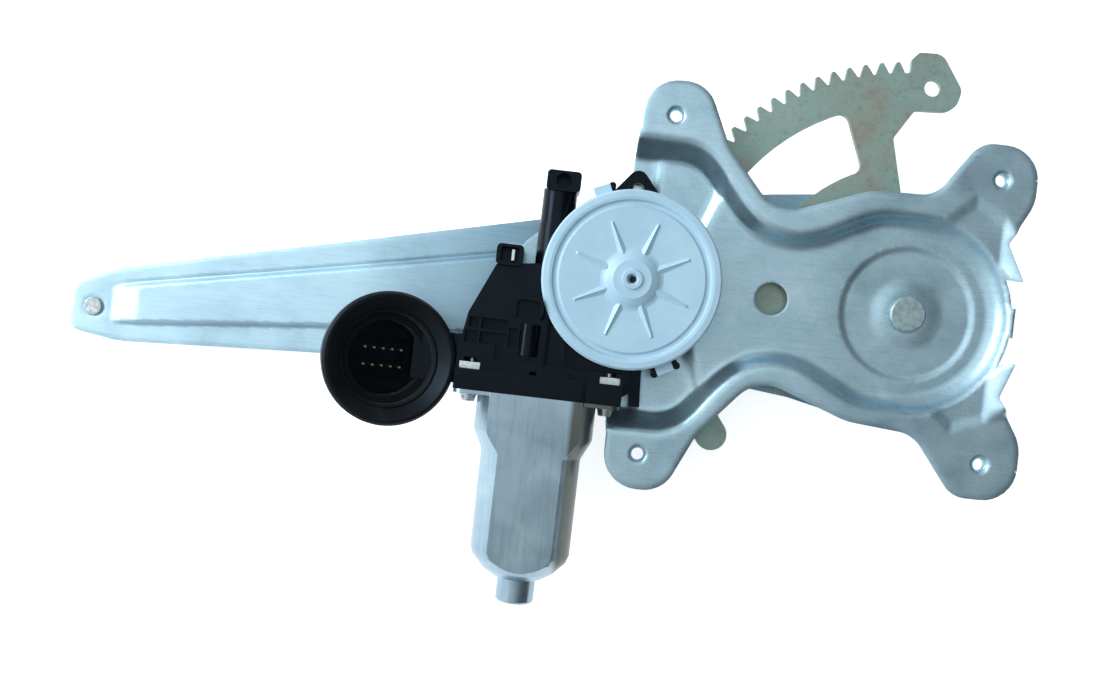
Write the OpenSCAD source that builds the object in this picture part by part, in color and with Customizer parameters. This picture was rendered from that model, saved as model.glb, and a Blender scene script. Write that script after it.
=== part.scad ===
// Window regulator for a vehicle door: a sector-and-arm lift driven by a worm gearmotor.
// Lengths are in millimetres. The four mounting ears lie in the plane z = 0 and face +Z.
// Every module is drawn about the pivot of the lift arm, with X along the line from the
// pinion to the pivot. from_pivot() then moves it so that the origin is the tapped hole
// of the upper left ear, which is the hole that places the regulator in the door.

/* [Base plate] */
// Thickness of the base plate sheet
plate_t = 1.6; // [1.2:0.1:2]
// Depth of the pan floor below the ears
pan_depth = 7; // [6:0.5:7.5]
// Further drop of the floor under the gear housing
recess_drop = 3; // [2.5:0.1:3.2]
// Further drop of the strip that carries the motor screws
strip_drop = 1.6; // [1.2:0.1:1.8]
// Radius of the pan floor round the pivot
bowl_r = 37.5; // [36:0.5:38.5]
// Width of the sloping wall round the bowl, seen from above
wall_w = 3; // [2.6:0.1:3.2]
// Distance from the pivot to the edge of the motor recess
recess_r = 93.5; // [91:0.5:95]
// Distance of the left ear holes from the pivot along X
ear_left_x = 106.3; // [104:0.1:108]
// Distance of the left ear holes from the centre line
ear_left_y = 70.7; // [69:0.1:72]
// Place of the upper right ear hole
ear_upper = [31, 59.4]; // [20:0.1:70]
// Place of the lower right ear hole
ear_lower = [35.1, -58.9]; // [-70:0.1:40]
// Radius of the tapped ear holes, for an M6 thread
ear_hole_r = 2.55; // [2.5:0.05:2.6]
// Outside radius of the drawn collar of an ear hole
ear_collar_r = 4; // [3.7:0.1:4.5]
// Height of the drawn collar behind the ear
ear_collar_h = 4.6; // [4:0.1:6]
// Radius of the round ears
ear_r = 14.6; // [13.5:0.1:15]
// Radius of the locating hole between pivot and motor
locating_r = 6.9; // [5:0.1:8]
// Distance of the locating hole from the pivot
locating_x = 57.4; // [50:0.1:62]
// Radius of the hole that the pinion drops through
pinion_hole_r = 21; // [20:0.1:22]
// Radius of the pivot dish
dish_r = 28.2; // [26:0.1:30]
// Drop of the dish floor below the pan floor
dish_drop = 2.4; // [1.5:0.1:2.6]
// Radius of the raised cone that carries the pivot rivet
cone_r = 13; // [11:0.1:14]

/* [Pivot] */
// Radius of the pivot rivet's shank
pivot_r = 5; // [4.5:0.1:5.5]
// Radius of the pivot rivet's head
pivot_head_r = 7.6; // [7:0.1:8.5]
// Height of the pivot rivet's head
pivot_head_h = 2.2; // [1.5:0.1:2.4]
// Radius of the closing head behind the arm
pivot_tail_r = 9; // [8:0.1:10]

/* [Sector gear] */
// Module of the sector and the pinion
gear_m = 2.2; // [2.1:0.05:2.25]
// Teeth on the full circle of the sector
sector_z = 96; // [92:1:98]
// Thickness of the sector
sector_t = 2.5; // [2.2:0.1:2.8]
// Front face of the sector below the ears
sector_depth = 12.2; // [12.1:0.1:12.6]
// Teeth ahead of the meshing tooth, towards the lobe
teeth_ahead = 22; // [20:1:22]
// Teeth behind the meshing tooth, towards the free end
teeth_behind = 8; // [6:1:8]
// Inner radius of the toothed rim
rim_r = 89.5; // [87:0.5:92]
// Radius of the sector's hub plate
web_r = 63.5; // [61:0.5:66]
// Radius of the spring hole in the lobe
lobe_hole_r = 3.45; // [3:0.05:4]
// Place of the spring hole
lobe_hole = [1.6, 97.2]; // [0:0.1:100]

/* [Lift arm] */
// Thickness of the arm sheet
arm_t = 2.2; // [1.8:0.1:2.4]
// Distance from the pivot to the roller stud
arm_reach = 348.7; // [330:0.1:360]
// Angle of the roller stud about the pivot as drawn
arm_angle = 185.9; // [184:0.1:188]
// Depth of the arm's flat edges below the ears
arm_depth = 22.6; // [22.2:0.1:24]
// Height of the pressed panel above the arm's edges
panel_rise = 2.6; // [1.5:0.1:2.8]
// Distance of the arm root's lower edge from the centre line
root_y = 46; // [44:0.5:47]
// Radius of the circle of rivets that joins arm and sector
rivet_circle_r = 42; // [40:0.5:44]
// Radius of those rivets
rivet_r = 3; // [2.5:0.1:3.4]

/* [Roller] */
// Radius of the roller
roller_r = 9; // [8:0.1:10]
// Width of the roller
roller_w = 10; // [8:0.5:12]
// Radius of the stud under the roller
stud_r = 4; // [3.5:0.1:4.5]

/* [Gear train] */
// Teeth of the pinion
pinion_z = 11; // [11:1:12]
// Face width of the pinion
pinion_w = 4.4; // [4:0.1:5]
// Module of the worm pair
worm_m = 1.2; // [1.15:0.01:1.25]
// Teeth of the worm wheel
wheel_z = 47; // [45:1:48]
// Face width of the worm wheel
wheel_w = 8; // [7:0.1:8.4]
// Pitch radius of the worm
worm_r = 4.5; // [4.3:0.1:4.7]
// Length of the worm thread
worm_len = 24; // [18:1:26]
// Radius of the fixed output pin
pin_r = 3; // [2.6:0.1:3.4]
// Outside radius of the pinion's sleeve
sleeve_r = 7.5; // [7:0.1:8]

/* [Gear housing] */
// Outside radius of the round gear case
case_r = 35.5; // [35:0.1:35.8]
// Height of the case rim above the worm axis
case_top = 8.8; // [8.6:0.1:9.4]
// Thickness of the case floor
case_floor = 2.2; // [1.8:0.1:2.4]
// Thickness of the cover sheet
cover_t = 1; // [0.8:0.1:1.2]
// Height of the cover's centre dome
dome_h = 3.4; // [3:0.1:4]
// Number of stiffening ribs on the cover
rib_count = 8; // [6:1:10]
// Outside radius of the worm tube
tube_r = 7; // [6.6:0.1:7.1]
// Distance from the worm wheel axis to the closed end of the tube
tube_reach = 41.2; // [40:0.1:44]
// Distance from the worm wheel axis to the motor flange
flange_y = 51.6; // [51:0.1:54]

/* [Motor] */
// Outside radius of the motor can next to the flange
can_big_r = 24.6; // [24:0.1:25]
// Outside radius of the motor can over the magnets
can_r = 20.6; // [20:0.1:21.2]
// Distance from the motor axis to the flats of the can
can_flat = 16; // [15.6:0.1:16.4]
// Sheet thickness of the can
can_t = 1.6; // [1.4:0.1:1.7]
// Length of the wide part of the can
can_big_len = 16.5; // [14:0.5:18]
// Length of the whole can without its nub
can_len = 74.8; // [72:0.2:78]
// Radius of the bearing nub
nub_r = 7.9; // [7.4:0.1:8.2]
// Length of the bearing nub
nub_len = 10.5; // [9:0.5:12]
// Radius of the armature shaft
shaft_r = 3; // [2.8:0.1:3.2]
// Radius of the armature core
core_r = 13.6; // [13:0.1:14]
// Length of the armature core
core_len = 30; // [26:1:32]
// Number of armature slots
slot_count = 10; // [8:1:12]
// Distance between the two motor screws
screw_span = 57; // [56.8:0.1:58]

/* [Connector] */
// Outside radius of the rubber boot's lip
boot_r = 27.2; // [26:0.1:28]
// Inside radius of the boot's mouth
boot_bore_r = 18.7; // [18:0.1:19.5]
// Length of the boot along its axis
boot_len = 24; // [20:0.5:26]
// Angle of the boot towards the motor
boot_tilt = 20; // [15:1:22]
// Number of terminals in a row
terminal_count = 5; // [4:1:6]

/* [Fits] */
// Radial clearance of turning fits
run_gap = 0.05; // [0.03:0.01:0.08]
// Radial clearance of pieces that are set over or into each other
seat_gap = 0.2; // [0.1:0.05:0.3]
// Clearance between pieces that pass each other
pass_gap = 0.4; // [0.35:0.05:0.5]
// Backlash taken off each gear tooth at the pitch circle
backlash = 0.25; // [0.2:0.01:0.3]

/* [Hidden] */
$fn = 48;

// Levels of the front faces, measured from the ears
pan_z = -pan_depth;
recess_z = pan_z - recess_drop;
strip_z = recess_z - strip_drop;
dish_z = pan_z - dish_drop;
sector_z0 = -sector_depth;
hub_z = sector_z0 - sector_t;
arm_z = -arm_depth;

// Gear geometry
pressure = 25;
sector_pitch_r = gear_m * sector_z / 2;
pinion_pitch_r = gear_m * pinion_z / 2;
gear_x = -(sector_pitch_r + pinion_pitch_r);
wheel_pitch_r = worm_m * wheel_z / 2;
motor_x = gear_x - wheel_pitch_r - worm_r;
worm_pitch = PI * worm_m;
tooth_step = 360 / sector_z;
sector_tip_r = sector_pitch_r + 0.9 * gear_m;
sector_root_r = sector_pitch_r - 1.2 * gear_m;

// Plate outline places
plate_left = gear_x - 3;
joggle_x = gear_x + 7.4;
datum = [-ear_left_x, ear_left_y];
bend_r = wall_w + bowl_r;
mouth_lip = 1.2;
wall_shift = plate_t * 0.7;

// Moves the part so that the datum hole is the origin
module from_pivot() {
    translate([-datum.x, -datum.y, 0]) children();
}

function polar(r, a) = [r * cos(a), r * sin(a)];
function unit(v) = v / norm(v);
function angle_of(v) = atan2(v.y, v.x);
function turn(from, to) = let (d = to - from) d > 180 ? d - 360 : d < -180 ? d + 360 : d;

// Arc of n steps that rounds the corner q between p and s with radius r
function corner(p, q, s, r, n) =
    let (u = unit(p - q), v = unit(s - q), half = acos(u * v) / 2, c = q + unit(u + v) * r / sin(half))
    let (a = angle_of(q + u * r / tan(half) - c), b = angle_of(q + v * r / tan(half) - c))
    [for (k = [0:n]) c + polar(r, a + turn(a, b) * k / n)];

// Path of [x, y, radius] corners, open, with each inner corner rounded
function rounded(path, n = 8) =
    let (xy = [for (p = path) [p.x, p.y]], last = len(path) - 1)
    concat([xy[0]], [for (i = [1:last - 1]) each path[i].z > 0 ?
        corner(xy[i - 1], xy[i], xy[i + 1], path[i].z, n) : [xy[i]]], [xy[last]]);

// Closed path of [x, y, radius] corners with every corner rounded
function rounded_loop(path, n = 8) =
    let (xy = [for (p = path) [p.x, p.y]], m = len(path))
    [for (i = [0:m - 1]) each path[i].z > 0 ?
        corner(xy[(i + m - 1) % m], xy[i], xy[(i + 1) % m], path[i].z, n) : [xy[i]]];

// Solid between two grids of points: front and back faces of a pressed sheet
module sheet(front, back) {
    rows = len(front);
    cols = len(front[0]);
    flat = concat([for (r = front) each r], [for (r = back) each r]);
    function at(i, j) = i * cols + j;
    b = rows * cols;
    quads = concat(
        [for (i = [0:rows - 2], j = [0:cols - 2]) [at(i, j), at(i, j + 1), at(i + 1, j + 1), at(i + 1, j)]],
        [for (i = [0:rows - 2], j = [0:cols - 2]) [b + at(i, j), b + at(i + 1, j), b + at(i + 1, j + 1), b + at(i, j + 1)]],
        [for (i = [0:rows - 2], j = [0, cols - 1]) j == 0 ?
            [at(i, j), at(i + 1, j), b + at(i + 1, j), b + at(i, j)] :
            [at(i + 1, j), at(i, j), b + at(i, j), b + at(i + 1, j)]],
        [for (j = [0:cols - 2], i = [0, rows - 1]) i == 0 ?
            [at(i, j + 1), at(i, j), b + at(i, j), b + at(i, j + 1)] :
            [at(i, j), at(i, j + 1), b + at(i, j + 1), b + at(i, j)]]);
    polyhedron(flat, [for (q = quads) each [[q[0], q[2], q[1]], [q[0], q[3], q[2]]]]);
}

// Base plate

// Rail where the flange turns down into the pan, and rail where the wall meets the floor
wall_top = rounded([
    [plate_left - 2, 61.4, 0], [gear_x + 25.5, 61.4, 20], [gear_x + 57.7, 20.2, 27],
    [-18.5, bend_r, 28], [1, bend_r, 0]]);
wall_foot = rounded([
    [plate_left - 2, 53, 0], [gear_x + 24.2, 53, 18], [gear_x + 56.7, 13.1, 35],
    [-16, bowl_r, 25], [1, bowl_r, 0]]);

// Stations along the plate: place, floor level, and how far the row bends to the left
step_x = -84;
step_bend = recess_r + step_x;
zones = [
    [plate_left, strip_z, 0], [joggle_x - 1.1, strip_z, 0], [joggle_x + 1.1, recess_z, 0],
    [step_x - 1.3, recess_z, step_bend], [step_x + 1.3, pan_z, step_bend],
    [-56, pan_z, 3], [-36, pan_z, 0], [0, pan_z, 0]];
zone_rows = [2, 1, 5, 1, 6, 4, 7];
stations = concat([for (i = [0:len(zone_rows) - 1], k = [0:zone_rows[i] - 1])
    zones[i] + (zones[i + 1] - zones[i]) * k / zone_rows[i]], [zones[len(zones) - 1]]);

// Share of the wall's width and of its depth, from flange to floor
wall_steps = [[0, 0], [0.16, 0.06], [0.34, 0.28], [0.5, 0.5], [0.66, 0.72], [0.84, 0.94], [1, 1]];
floor_steps = [0.93, 0.6, 0.3, 0, -0.3, -0.6, -0.93];

function wall_row(x, z, side, drop, shift) =
    let (top = lookup(x, wall_top), foot = lookup(x, wall_foot))
    [for (w = wall_steps) [x, side * (top + (foot - top) * w[0] + shift), z * w[1] - drop]];

function plate_row(s, drop, shift) =
    let (x = s[0], z = s[1], top = lookup(x, wall_top), foot = lookup(x, wall_foot))
    let (upper = wall_row(x, z, 1, drop, shift), lower = wall_row(x, z, -1, drop, shift))
    concat(
        [[x, top + mouth_lip, -drop]], upper,
        [for (f = floor_steps) [x - s[2] * (1 - f * f), foot * f, z - drop]],
        [for (i = [len(lower) - 1:-1:0]) lower[i]], [[x, -top - mouth_lip, -drop]]);

ear_run = ear_r * 0.8;
upper_edge = [
    [plate_left + 0.4, ear_left_y + ear_r, ear_r], [-ear_left_x + ear_run, ear_left_y + ear_r, ear_r - 1],
    [gear_x + 34.7, 60, 25], [gear_x + 57.2, 34.4, 16], [-22, 49.2, 30], [4, 49.9, 12],
    [ear_upper.x - ear_r * 0.72, ear_upper.y + ear_r, 12], [ear_upper.x + ear_r, ear_upper.y + ear_r, ear_r - 0.4],
    [ear_upper.x + ear_r, ear_upper.y - 8.5, 18], [36.4, 33.2, 2.5], [42.9, 17.6, 0.6], [35, 18.8, 0]];
lower_edge = [
    [35, -18, 0], [43.4, -15.6, 0.6], [39, -30.4, 2.5], [ear_lower.x + ear_r + 1, ear_lower.y + 10, 18],
    [ear_lower.x + ear_r + 1, ear_lower.y - ear_r, ear_r - 0.4], [ear_lower.x - ear_r * 0.72, ear_lower.y - ear_r, 12],
    [6, -49.6, 14], [-22, -47.4, 30], [gear_x + 57.2, -33.6, 16], [gear_x + 34.7, -60, 25],
    [-ear_left_x + ear_run, -ear_left_y - ear_r, ear_r - 1], [plate_left + 0.4, -ear_left_y - ear_r, ear_r]];

ear_places = [datum, [datum.x, -datum.y], ear_upper, ear_lower];

module plate_outline() {
    polygon(concat([[plate_left, -30], [plate_left, 30]], rounded_loop(concat(upper_edge, lower_edge))));
    circle(bend_r + mouth_lip);
    translate([bend_r - 4, -5.2]) square([6.1, 12.2]);
}

module plate_mouth() {
    edge = [for (s = stations) [s[0], lookup(s[0], wall_top) + mouth_lip]];
    polygon(concat([[plate_left - 1, edge[0].y]], edge, [for (i = [len(edge) - 1:-1:0]) [edge[i].x, -edge[i].y]],
        [[plate_left - 1, -edge[0].y]]));
    circle(bend_r + mouth_lip);
}

// Half ring that closes the pan round the pivot
module bowl_end() {
    top = [for (w = wall_steps) [bend_r - wall_w * w[0], pan_z * w[1]]];
    rotate_extrude(angle = 180, start = -90)
        polygon(concat([[bend_r + mouth_lip, 0]], top, [[dish_r, pan_z], [dish_r, pan_z - plate_t]],
            [for (i = [len(top) - 1:-1:0]) top[i] + [wall_shift, -plate_t]], [[bend_r + mouth_lip, -plate_t]]));
}

// Dish with its raised cone
module pivot_dish() {
    edge = [[dish_r, pan_z], [dish_r - 1.2, pan_z - 0.3], [dish_r - 2.6, dish_z + 0.3], [dish_r - 4, dish_z],
        [cone_r, dish_z], [cone_r - 2, dish_z + 0.3], [pivot_head_r + 1.2, pan_z - 0.2], [pivot_head_r, pan_z],
        [pivot_r, pan_z]];
    rotate_extrude()
        polygon(concat(edge, [for (i = [len(edge) - 1:-1:0]) edge[i] - [0, plate_t]]));
}

// Tongue behind the motor that carries the third screw
tongue = rounded_loop([
    [plate_left, 29, 0], [motor_x - 7.4, 17.4, 1.5], [motor_x - 12.2, 13, 1.5], [motor_x - 13.4, 11, 1],
    [motor_x - 23, 11, 4], [motor_x - 23, 0.6, 4], [motor_x - 12, -12, 4], [motor_x - 7, -17, 5],
    [plate_left, -29, 0]], 4);

// Screws that hold the gear housing to the plate from behind, each with the radius of its boss
// and the height above the boss that its hole reaches
seat_z = -1.6;
mount_screws = [[gear_x - 1, 38.5, 6.4, 2], [gear_x + 0.9, -43.6, 4.6, -3], [motor_x - 17.5, 4.6, 4.2, -3]];
mount_screw_r = 2.5;
mount_head_r = 4;
mount_head_h = 2.2;
mount_grip = plate_t + seat_z - strip_z - 3.4;

module base_plate() color("#b9c4cb") from_pivot() difference() {
    union() {
        translate([0, 0, -plate_t]) linear_extrude(plate_t) difference() {
            plate_outline();
            plate_mouth();
        }
        difference() {
            sheet([for (s = stations) plate_row(s, 0, 0)], [for (s = stations) plate_row(s, plate_t, wall_shift)]);
            translate([0, 0, pan_z - plate_t - 1]) cylinder(r = dish_r, h = plate_t + 2, $fn = 96);
        }
        bowl_end();
        pivot_dish();
        translate([0, 0, strip_z - plate_t]) linear_extrude(plate_t) polygon(tongue);
        for (p = ear_places)
            translate([p.x, p.y, -ear_collar_h]) cylinder(r = ear_collar_r, h = ear_collar_h);
    }
    for (p = ear_places) translate([p.x, p.y, -ear_collar_h - 1]) cylinder(r = ear_hole_r, h = ear_collar_h + 2);
    translate([-locating_x, 0, pan_z - plate_t - 1]) cylinder(r = locating_r, h = plate_t + 2);
    translate([gear_x, 0, strip_z - plate_t - 1]) cylinder(r = pinion_hole_r, h = strip_drop + recess_drop + plate_t + 3);
    for (p = mount_screws)
        translate([p.x, p.y, strip_z - plate_t - 1]) cylinder(r = mount_screw_r, h = plate_t + 3);
}

// Pivot

sheet_gap = 0.3;
tail_z = hub_z - arm_t - sheet_gap;

module pivot_rivet() color("#c9ccc4") from_pivot() {
    rotate_extrude() polygon([
        [0, pan_z + pivot_head_h], [pivot_head_r - 0.8, pan_z + pivot_head_h], [pivot_head_r, pan_z + pivot_head_h - 0.8],
        [pivot_head_r, pan_z], [pivot_r, pan_z], [pivot_r, tail_z], [pivot_tail_r, tail_z],
        [pivot_tail_r, tail_z - 1.2], [pivot_tail_r - 1.2, tail_z - 2], [0, tail_z - 2]]);
}

module pivot_washer() color("#8d8f8c") from_pivot() {
    washer_h = pan_z - plate_t - sector_z0 - sheet_gap;
    translate([0, 0, pan_z - plate_t - washer_h]) difference() {
        cylinder(r = pivot_head_r - 0.4, h = washer_h);
        translate([0, 0, -1]) cylinder(r = pivot_r, h = washer_h + 2);
    }
}

// Gear teeth

function involute(a) = tan(a) * 180 / PI - a;

// Half the angle that a tooth takes up at radius r
function half_tooth(z, r) =
    let (pitch_r = gear_m * z / 2, base_r = pitch_r * cos(pressure))
    let (at_pitch = 90 / z - backlash / 2 / pitch_r * 180 / PI)
    at_pitch + involute(pressure) - involute(r > base_r ? acos(base_r / r) : 0);

// Outline of one tooth about the angle a, from root to tip and back
function tooth(z, root_r, tip_r, a, steps = 4) =
    let (flank = [for (k = [0:steps]) let (r = root_r + (tip_r - root_r) * k / steps) [r, half_tooth(z, r)]])
    concat([for (f = flank) polar(f[0], a - f[1])], [for (k = [steps:-1:0]) polar(flank[k][0], a + flank[k][1])]);

rim_end_r = (rim_r + sector_root_r) / 2;
rim_end_w = (sector_root_r - rim_r) / 2;
first_tooth = 180 - teeth_ahead * tooth_step;
last_tooth = 180 + teeth_behind * tooth_step;
rim_end_a = last_tooth + 8.5;

// Part of a ring between two radii and two angles, with its four corners rounded
function ring_part(r0, r1, a0, a1, round_r = 0, steps = 8) = rounded_loop([
    for (end = [[r1, 0, 1], [r0, steps, -1]], k = [0:steps])
        let (p = polar(end[0], a0 + (a1 - a0) * (end[1] + end[2] * k) / steps))
        [p.x, p.y, k == 0 || k == steps ? round_r : 0]]);

// Toothed rim with its free end, as an outline
function rim_outline(rim_steps = 40) = concat(
    [polar(sector_root_r, first_tooth - 3)],
    [for (k = [-teeth_ahead:teeth_behind]) each tooth(sector_z, sector_root_r, sector_tip_r, 180 + k * tooth_step)],
    [for (k = [0:3]) polar(sector_root_r, last_tooth + 2 + (rim_end_a - last_tooth - 2) * k / 3)],
    [for (k = [0:rim_steps]) polar(rim_r, rim_end_a + (first_tooth - 3 - rim_end_a) * k / rim_steps)]);

// Lobe at the end of the rim, with the spoke that runs down to the hub
lobe = rounded_loop([
    [-8.4, sector_root_r, 0], [-8.4, 108.4, 1], [-5.6, 111.8, 1.5], [4.4, 112.2, 6], [14.2, 97.8, 5],
    [12.2, 87.9, 7.5], [-4.8, 87, 3.5], [-12.6, 74.2, 2], [-6.6, 51, 0], [-28, 52, 0], [-27.4, 62, 0],
    [-33.4, 88, 0], [-13.3, sector_root_r - 1.8, 0]]);

rivet_spots = concat([for (a = [125, 170, 215]) polar(rivet_circle_r, a)], [polar(rivet_circle_r * 0.74, 320)]);
sector_hub_r = 38;

module sector_gear() color("#a9b8a6") from_pivot() translate([0, 0, hub_z]) difference() {
    union() {
        linear_extrude(sector_t) polygon(rim_outline());
        translate(polar(rim_end_r, rim_end_a)) cylinder(r = rim_end_w, h = sector_t);
        cylinder(r = sector_hub_r, h = sector_t);
        intersection() {
            cylinder(r = web_r, h = sector_t);
            linear_extrude(sector_t)
                polygon([[8, 0], [-7.2, 51.5], [-14, 80], [-90, 80], [-90, -60], polar(80, rim_end_a - 4), [-20, -30]]);
        }
        linear_extrude(sector_t) polygon(ring_part(web_r - 4, rim_r + 2, 185, 196));
        linear_extrude(sector_t) polygon(ring_part(web_r - 4, rim_r + 2, 105, 158));
        linear_extrude(sector_t) polygon(lobe);
    }
    translate([0, 0, -1]) {
        cylinder(r = pivot_r + run_gap, h = sector_t + 2);
        translate(lobe_hole) cylinder(r = lobe_hole_r, h = sector_t + 2);
        translate([-50, 8.5]) cylinder(r = 3.5, h = sector_t + 2);
        for (p = rivet_spots) translate(p) cylinder(r = rivet_r, h = sector_t + 2);
        linear_extrude(sector_t + 2) polygon(ring_part(web_r, rim_r, 112, 147, 4));
    }
}

// Lift arm

arm_tip = polar(arm_reach, arm_angle);
arm_end_x = arm_tip.x - 10;
arm_root_x = -62;
root_top = 44.8;

// Edges of the arm seen from the front, and the lines where the panel starts to rise
arm_upper = rounded([
    [arm_end_x, arm_tip.y + 6.5, 0], [arm_end_x + 1.5, arm_tip.y + 10, 3], [arm_end_x + 18.5, arm_tip.y + 17.6, 26],
    [-76, 43.2, 20], [arm_root_x + 1, root_top, 0]]);
arm_lower = rounded([
    [arm_end_x, arm_tip.y - 7, 0], [arm_end_x + 2.5, arm_tip.y - 11, 3], [arm_end_x + 22, arm_tip.y - 13.9, 26],
    [-81, -35.8, 20], [arm_root_x + 1, -38.6, 0]]);
panel_upper = [[arm_end_x, arm_tip.y + 8], [arm_tip.x + 16, arm_tip.y + 10.5], [-173, 6.5], [arm_root_x, 29]];
panel_lower = [[arm_end_x, arm_tip.y - 6], [arm_tip.x + 16, arm_tip.y - 4.6], [-189, -27], [arm_root_x, -20]];

// Stations along the arm: place, level of the edges, share of the panel's height
joggle_out = -84;
joggle_in = -66;
arm_zones = [
    [arm_end_x, arm_z, 0], [arm_tip.x + 10, arm_z, 0], [arm_tip.x + 15, arm_z, 0.12], [arm_tip.x + 19, arm_z, 0.88],
    [arm_tip.x + 24, arm_z, 1], [-100, arm_z, 1], [joggle_out, arm_z, 1], [joggle_in, hub_z, 0], [arm_root_x, hub_z, 0]];
arm_zone_rows = [8, 1, 2, 1, 8, 2, 5, 1];
arm_stations = concat([for (i = [0:len(arm_zone_rows) - 1], k = [0:arm_zone_rows[i] - 1])
    arm_zones[i] + (arm_zones[i + 1] - arm_zones[i]) * k / arm_zone_rows[i]], [arm_zones[len(arm_zones) - 1]]);
emboss_w = 3.4;

function arm_row(s, drop) =
    let (x = s[0], z = s[1] - drop, rise = panel_rise * s[2])
    let (up = min(lookup(x, panel_upper), lookup(x, arm_upper) - emboss_w - 1))
    let (low = max(lookup(x, panel_lower), lookup(x, arm_lower) + emboss_w + 1))
    [
        [x, lookup(x, arm_upper), z], [x, up + emboss_w, z], [x, up + emboss_w * 0.7, z + rise * 0.12],
        [x, up + emboss_w * 0.3, z + rise * 0.88], [x, up, z + rise], [x, (up + low) / 2, z + rise], [x, low, z + rise],
        [x, low - emboss_w * 0.3, z + rise * 0.88], [x, low - emboss_w * 0.7, z + rise * 0.12], [x, low - emboss_w, z],
        [x, lookup(x, arm_lower), z]];

module lift_arm() color("#a9b3ba") from_pivot() difference() {
    union() {
        sheet([for (s = arm_stations) arm_row(s, 0)], [for (s = arm_stations) arm_row(s, arm_t)]);
        translate([0, 0, hub_z - arm_t]) linear_extrude(arm_t) {
            polygon(rounded_loop([
                [arm_root_x, root_top, 0], [-40, 47.4, 12], [-14, 47.4, 20], [sector_hub_r, 24, 22], [sector_hub_r, -22, 22],
                [10, -root_y, 20], [-18, -root_y, 20], [-44, -40.5, 14], [arm_root_x, -38.6, 0]]));
        }
    }
    translate([0, 0, hub_z - arm_t - 1]) cylinder(r = pivot_r + run_gap, h = arm_t + 2);
    translate([arm_tip.x, arm_tip.y, arm_z - arm_t - 1]) cylinder(r = stud_r, h = arm_t + 2);
    for (p = rivet_spots) translate([p.x, p.y, hub_z - arm_t - 1])
        cylinder(r = rivet_r, h = arm_t + 2);
}

module arm_rivets() color("#9aa39c") from_pivot()
    for (p = rivet_spots) translate([p.x, p.y, 0]) rotate_extrude() polygon([
        [0, sector_z0 + 0.8], [rivet_r + 0.9, sector_z0 + 0.8], [rivet_r + 1.6, sector_z0], [rivet_r, sector_z0],
        [rivet_r, hub_z - arm_t], [rivet_r + 1.8, hub_z - arm_t], [rivet_r + 1.2, hub_z - arm_t - 1.4],
        [0, hub_z - arm_t - 1.4]]);

// Stud and roller

roller_z = arm_z - arm_t - pass_gap;
flange_z = roller_z - roller_w - pass_gap;

module roller_stud() color("#c3c8c8") from_pivot() translate([arm_tip.x, arm_tip.y, 0]) rotate_extrude() polygon([
    [0, arm_z + 1.2], [stud_r - 0.4, arm_z + 1.2], [stud_r, arm_z + 0.6], [stud_r, flange_z], [stud_r + 2.2, flange_z],
    [stud_r + 2.2, flange_z - 1], [stud_r + 1.4, flange_z - 1.6], [0, flange_z - 1.6]]);

module roller() color("#e9e4d6") from_pivot() translate([arm_tip.x, arm_tip.y, roller_z - roller_w]) rotate_extrude()
    polygon([[stud_r + run_gap, 0], [roller_r - 1.5, 0], [roller_r, 1.5], [roller_r, roller_w - 1.5],
        [roller_r - 1.5, roller_w], [stud_r + run_gap, roller_w]]);

// Gear housing, drawn about the worm wheel's axis where it is round

floor_top = -wheel_w / 2 - pass_gap;
case_bottom = floor_top - case_floor;
cavity_r = wheel_pitch_r + worm_m + 1.4;
boss_r = sleeve_r + 3.4;
chamber_r = worm_r + 0.75 * worm_m + pass_gap;
bearing_r = 4.9;
front_bearing_r = 5.6;
front_at = 33;
tip_seat = -tube_reach + 13;

// Places local Z along the motor axis, away from the gears, and local Y along world Z
module along_motor(at = 0) {
    translate([motor_x, -at, 0]) rotate([90, 0, 0]) children();
}

module rounded_box(size, r) {
    linear_extrude(size.z) polygon(rounded_loop([[0, 0, r], [size.x, 0, r], [size.x, size.y, r], [0, size.y, r]], 6));
}

flange_l = screw_span + 10.8;
flange_d = 31;
flange_t = 1.5;
motor_screw_r = 2.1;
nut_w = 8.4;
nut_t = 2.8;
nut_y = -flange_y + 8.4;

// Base block that the motor's flange is screwed to, from its left end to its right end
block_left = motor_x - flange_l / 2 - 0.3;
block_right = motor_x + flange_l / 2 - 0.1;
block_bottom = -14;
block_top = 13;
block_step = 10.2;
block_deep = 13;
over_plate = plate_left - 0.6;
over_plate_z = strip_z + 3.2;

// Cover and its skirt
press_over = seat_gap + cover_t;
cover_r = case_r + press_over;
skirt_z = case_top - 1.2;

// Square end of the worm tube
end_len = 8.3;
end_w = 14;

// Post over the third screw, with a pocket that holds a spring clip
post = [motor_x - 23, 0.2];
post_size = [11, 8.6, 16.4];
pocket_z = 3;

module ridge(size, wall) {
    difference() {
        rounded_box(size, 3);
        translate([wall, -wall - 1, 1]) rounded_box([size.x - 2 * wall, size.y + 1, size.z + 1], 2);
    }
}

module base_block() {
    deep = [block_left, -flange_y, block_bottom];
    translate(deep) cube([over_plate - deep.x, block_deep, block_step - deep.z]);
    translate([over_plate - 1, -flange_y, over_plate_z])
        cube([block_right - over_plate + 1, block_deep, block_step - over_plate_z]);
    // Raised front with a step in the middle, and a full height end round the right nut
    translate([block_left, -flange_y, block_step - 1]) cube([motor_x + 18 - block_left, 8.6, block_top - block_step + 1]);
    translate([motor_x - 1.2, -flange_y + 8, block_step - 1]) cube([12.6, 3.1, block_top - block_step + 1]);
    translate([motor_x + 19.4, -flange_y, block_step - 1])
        cube([block_right - motor_x - 19.4, block_deep, block_top - block_step + 1]);
    // End round the left nut
    translate([block_left, -flange_y, -10.5]) cube([15, 20.6, 20]);
}

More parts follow.
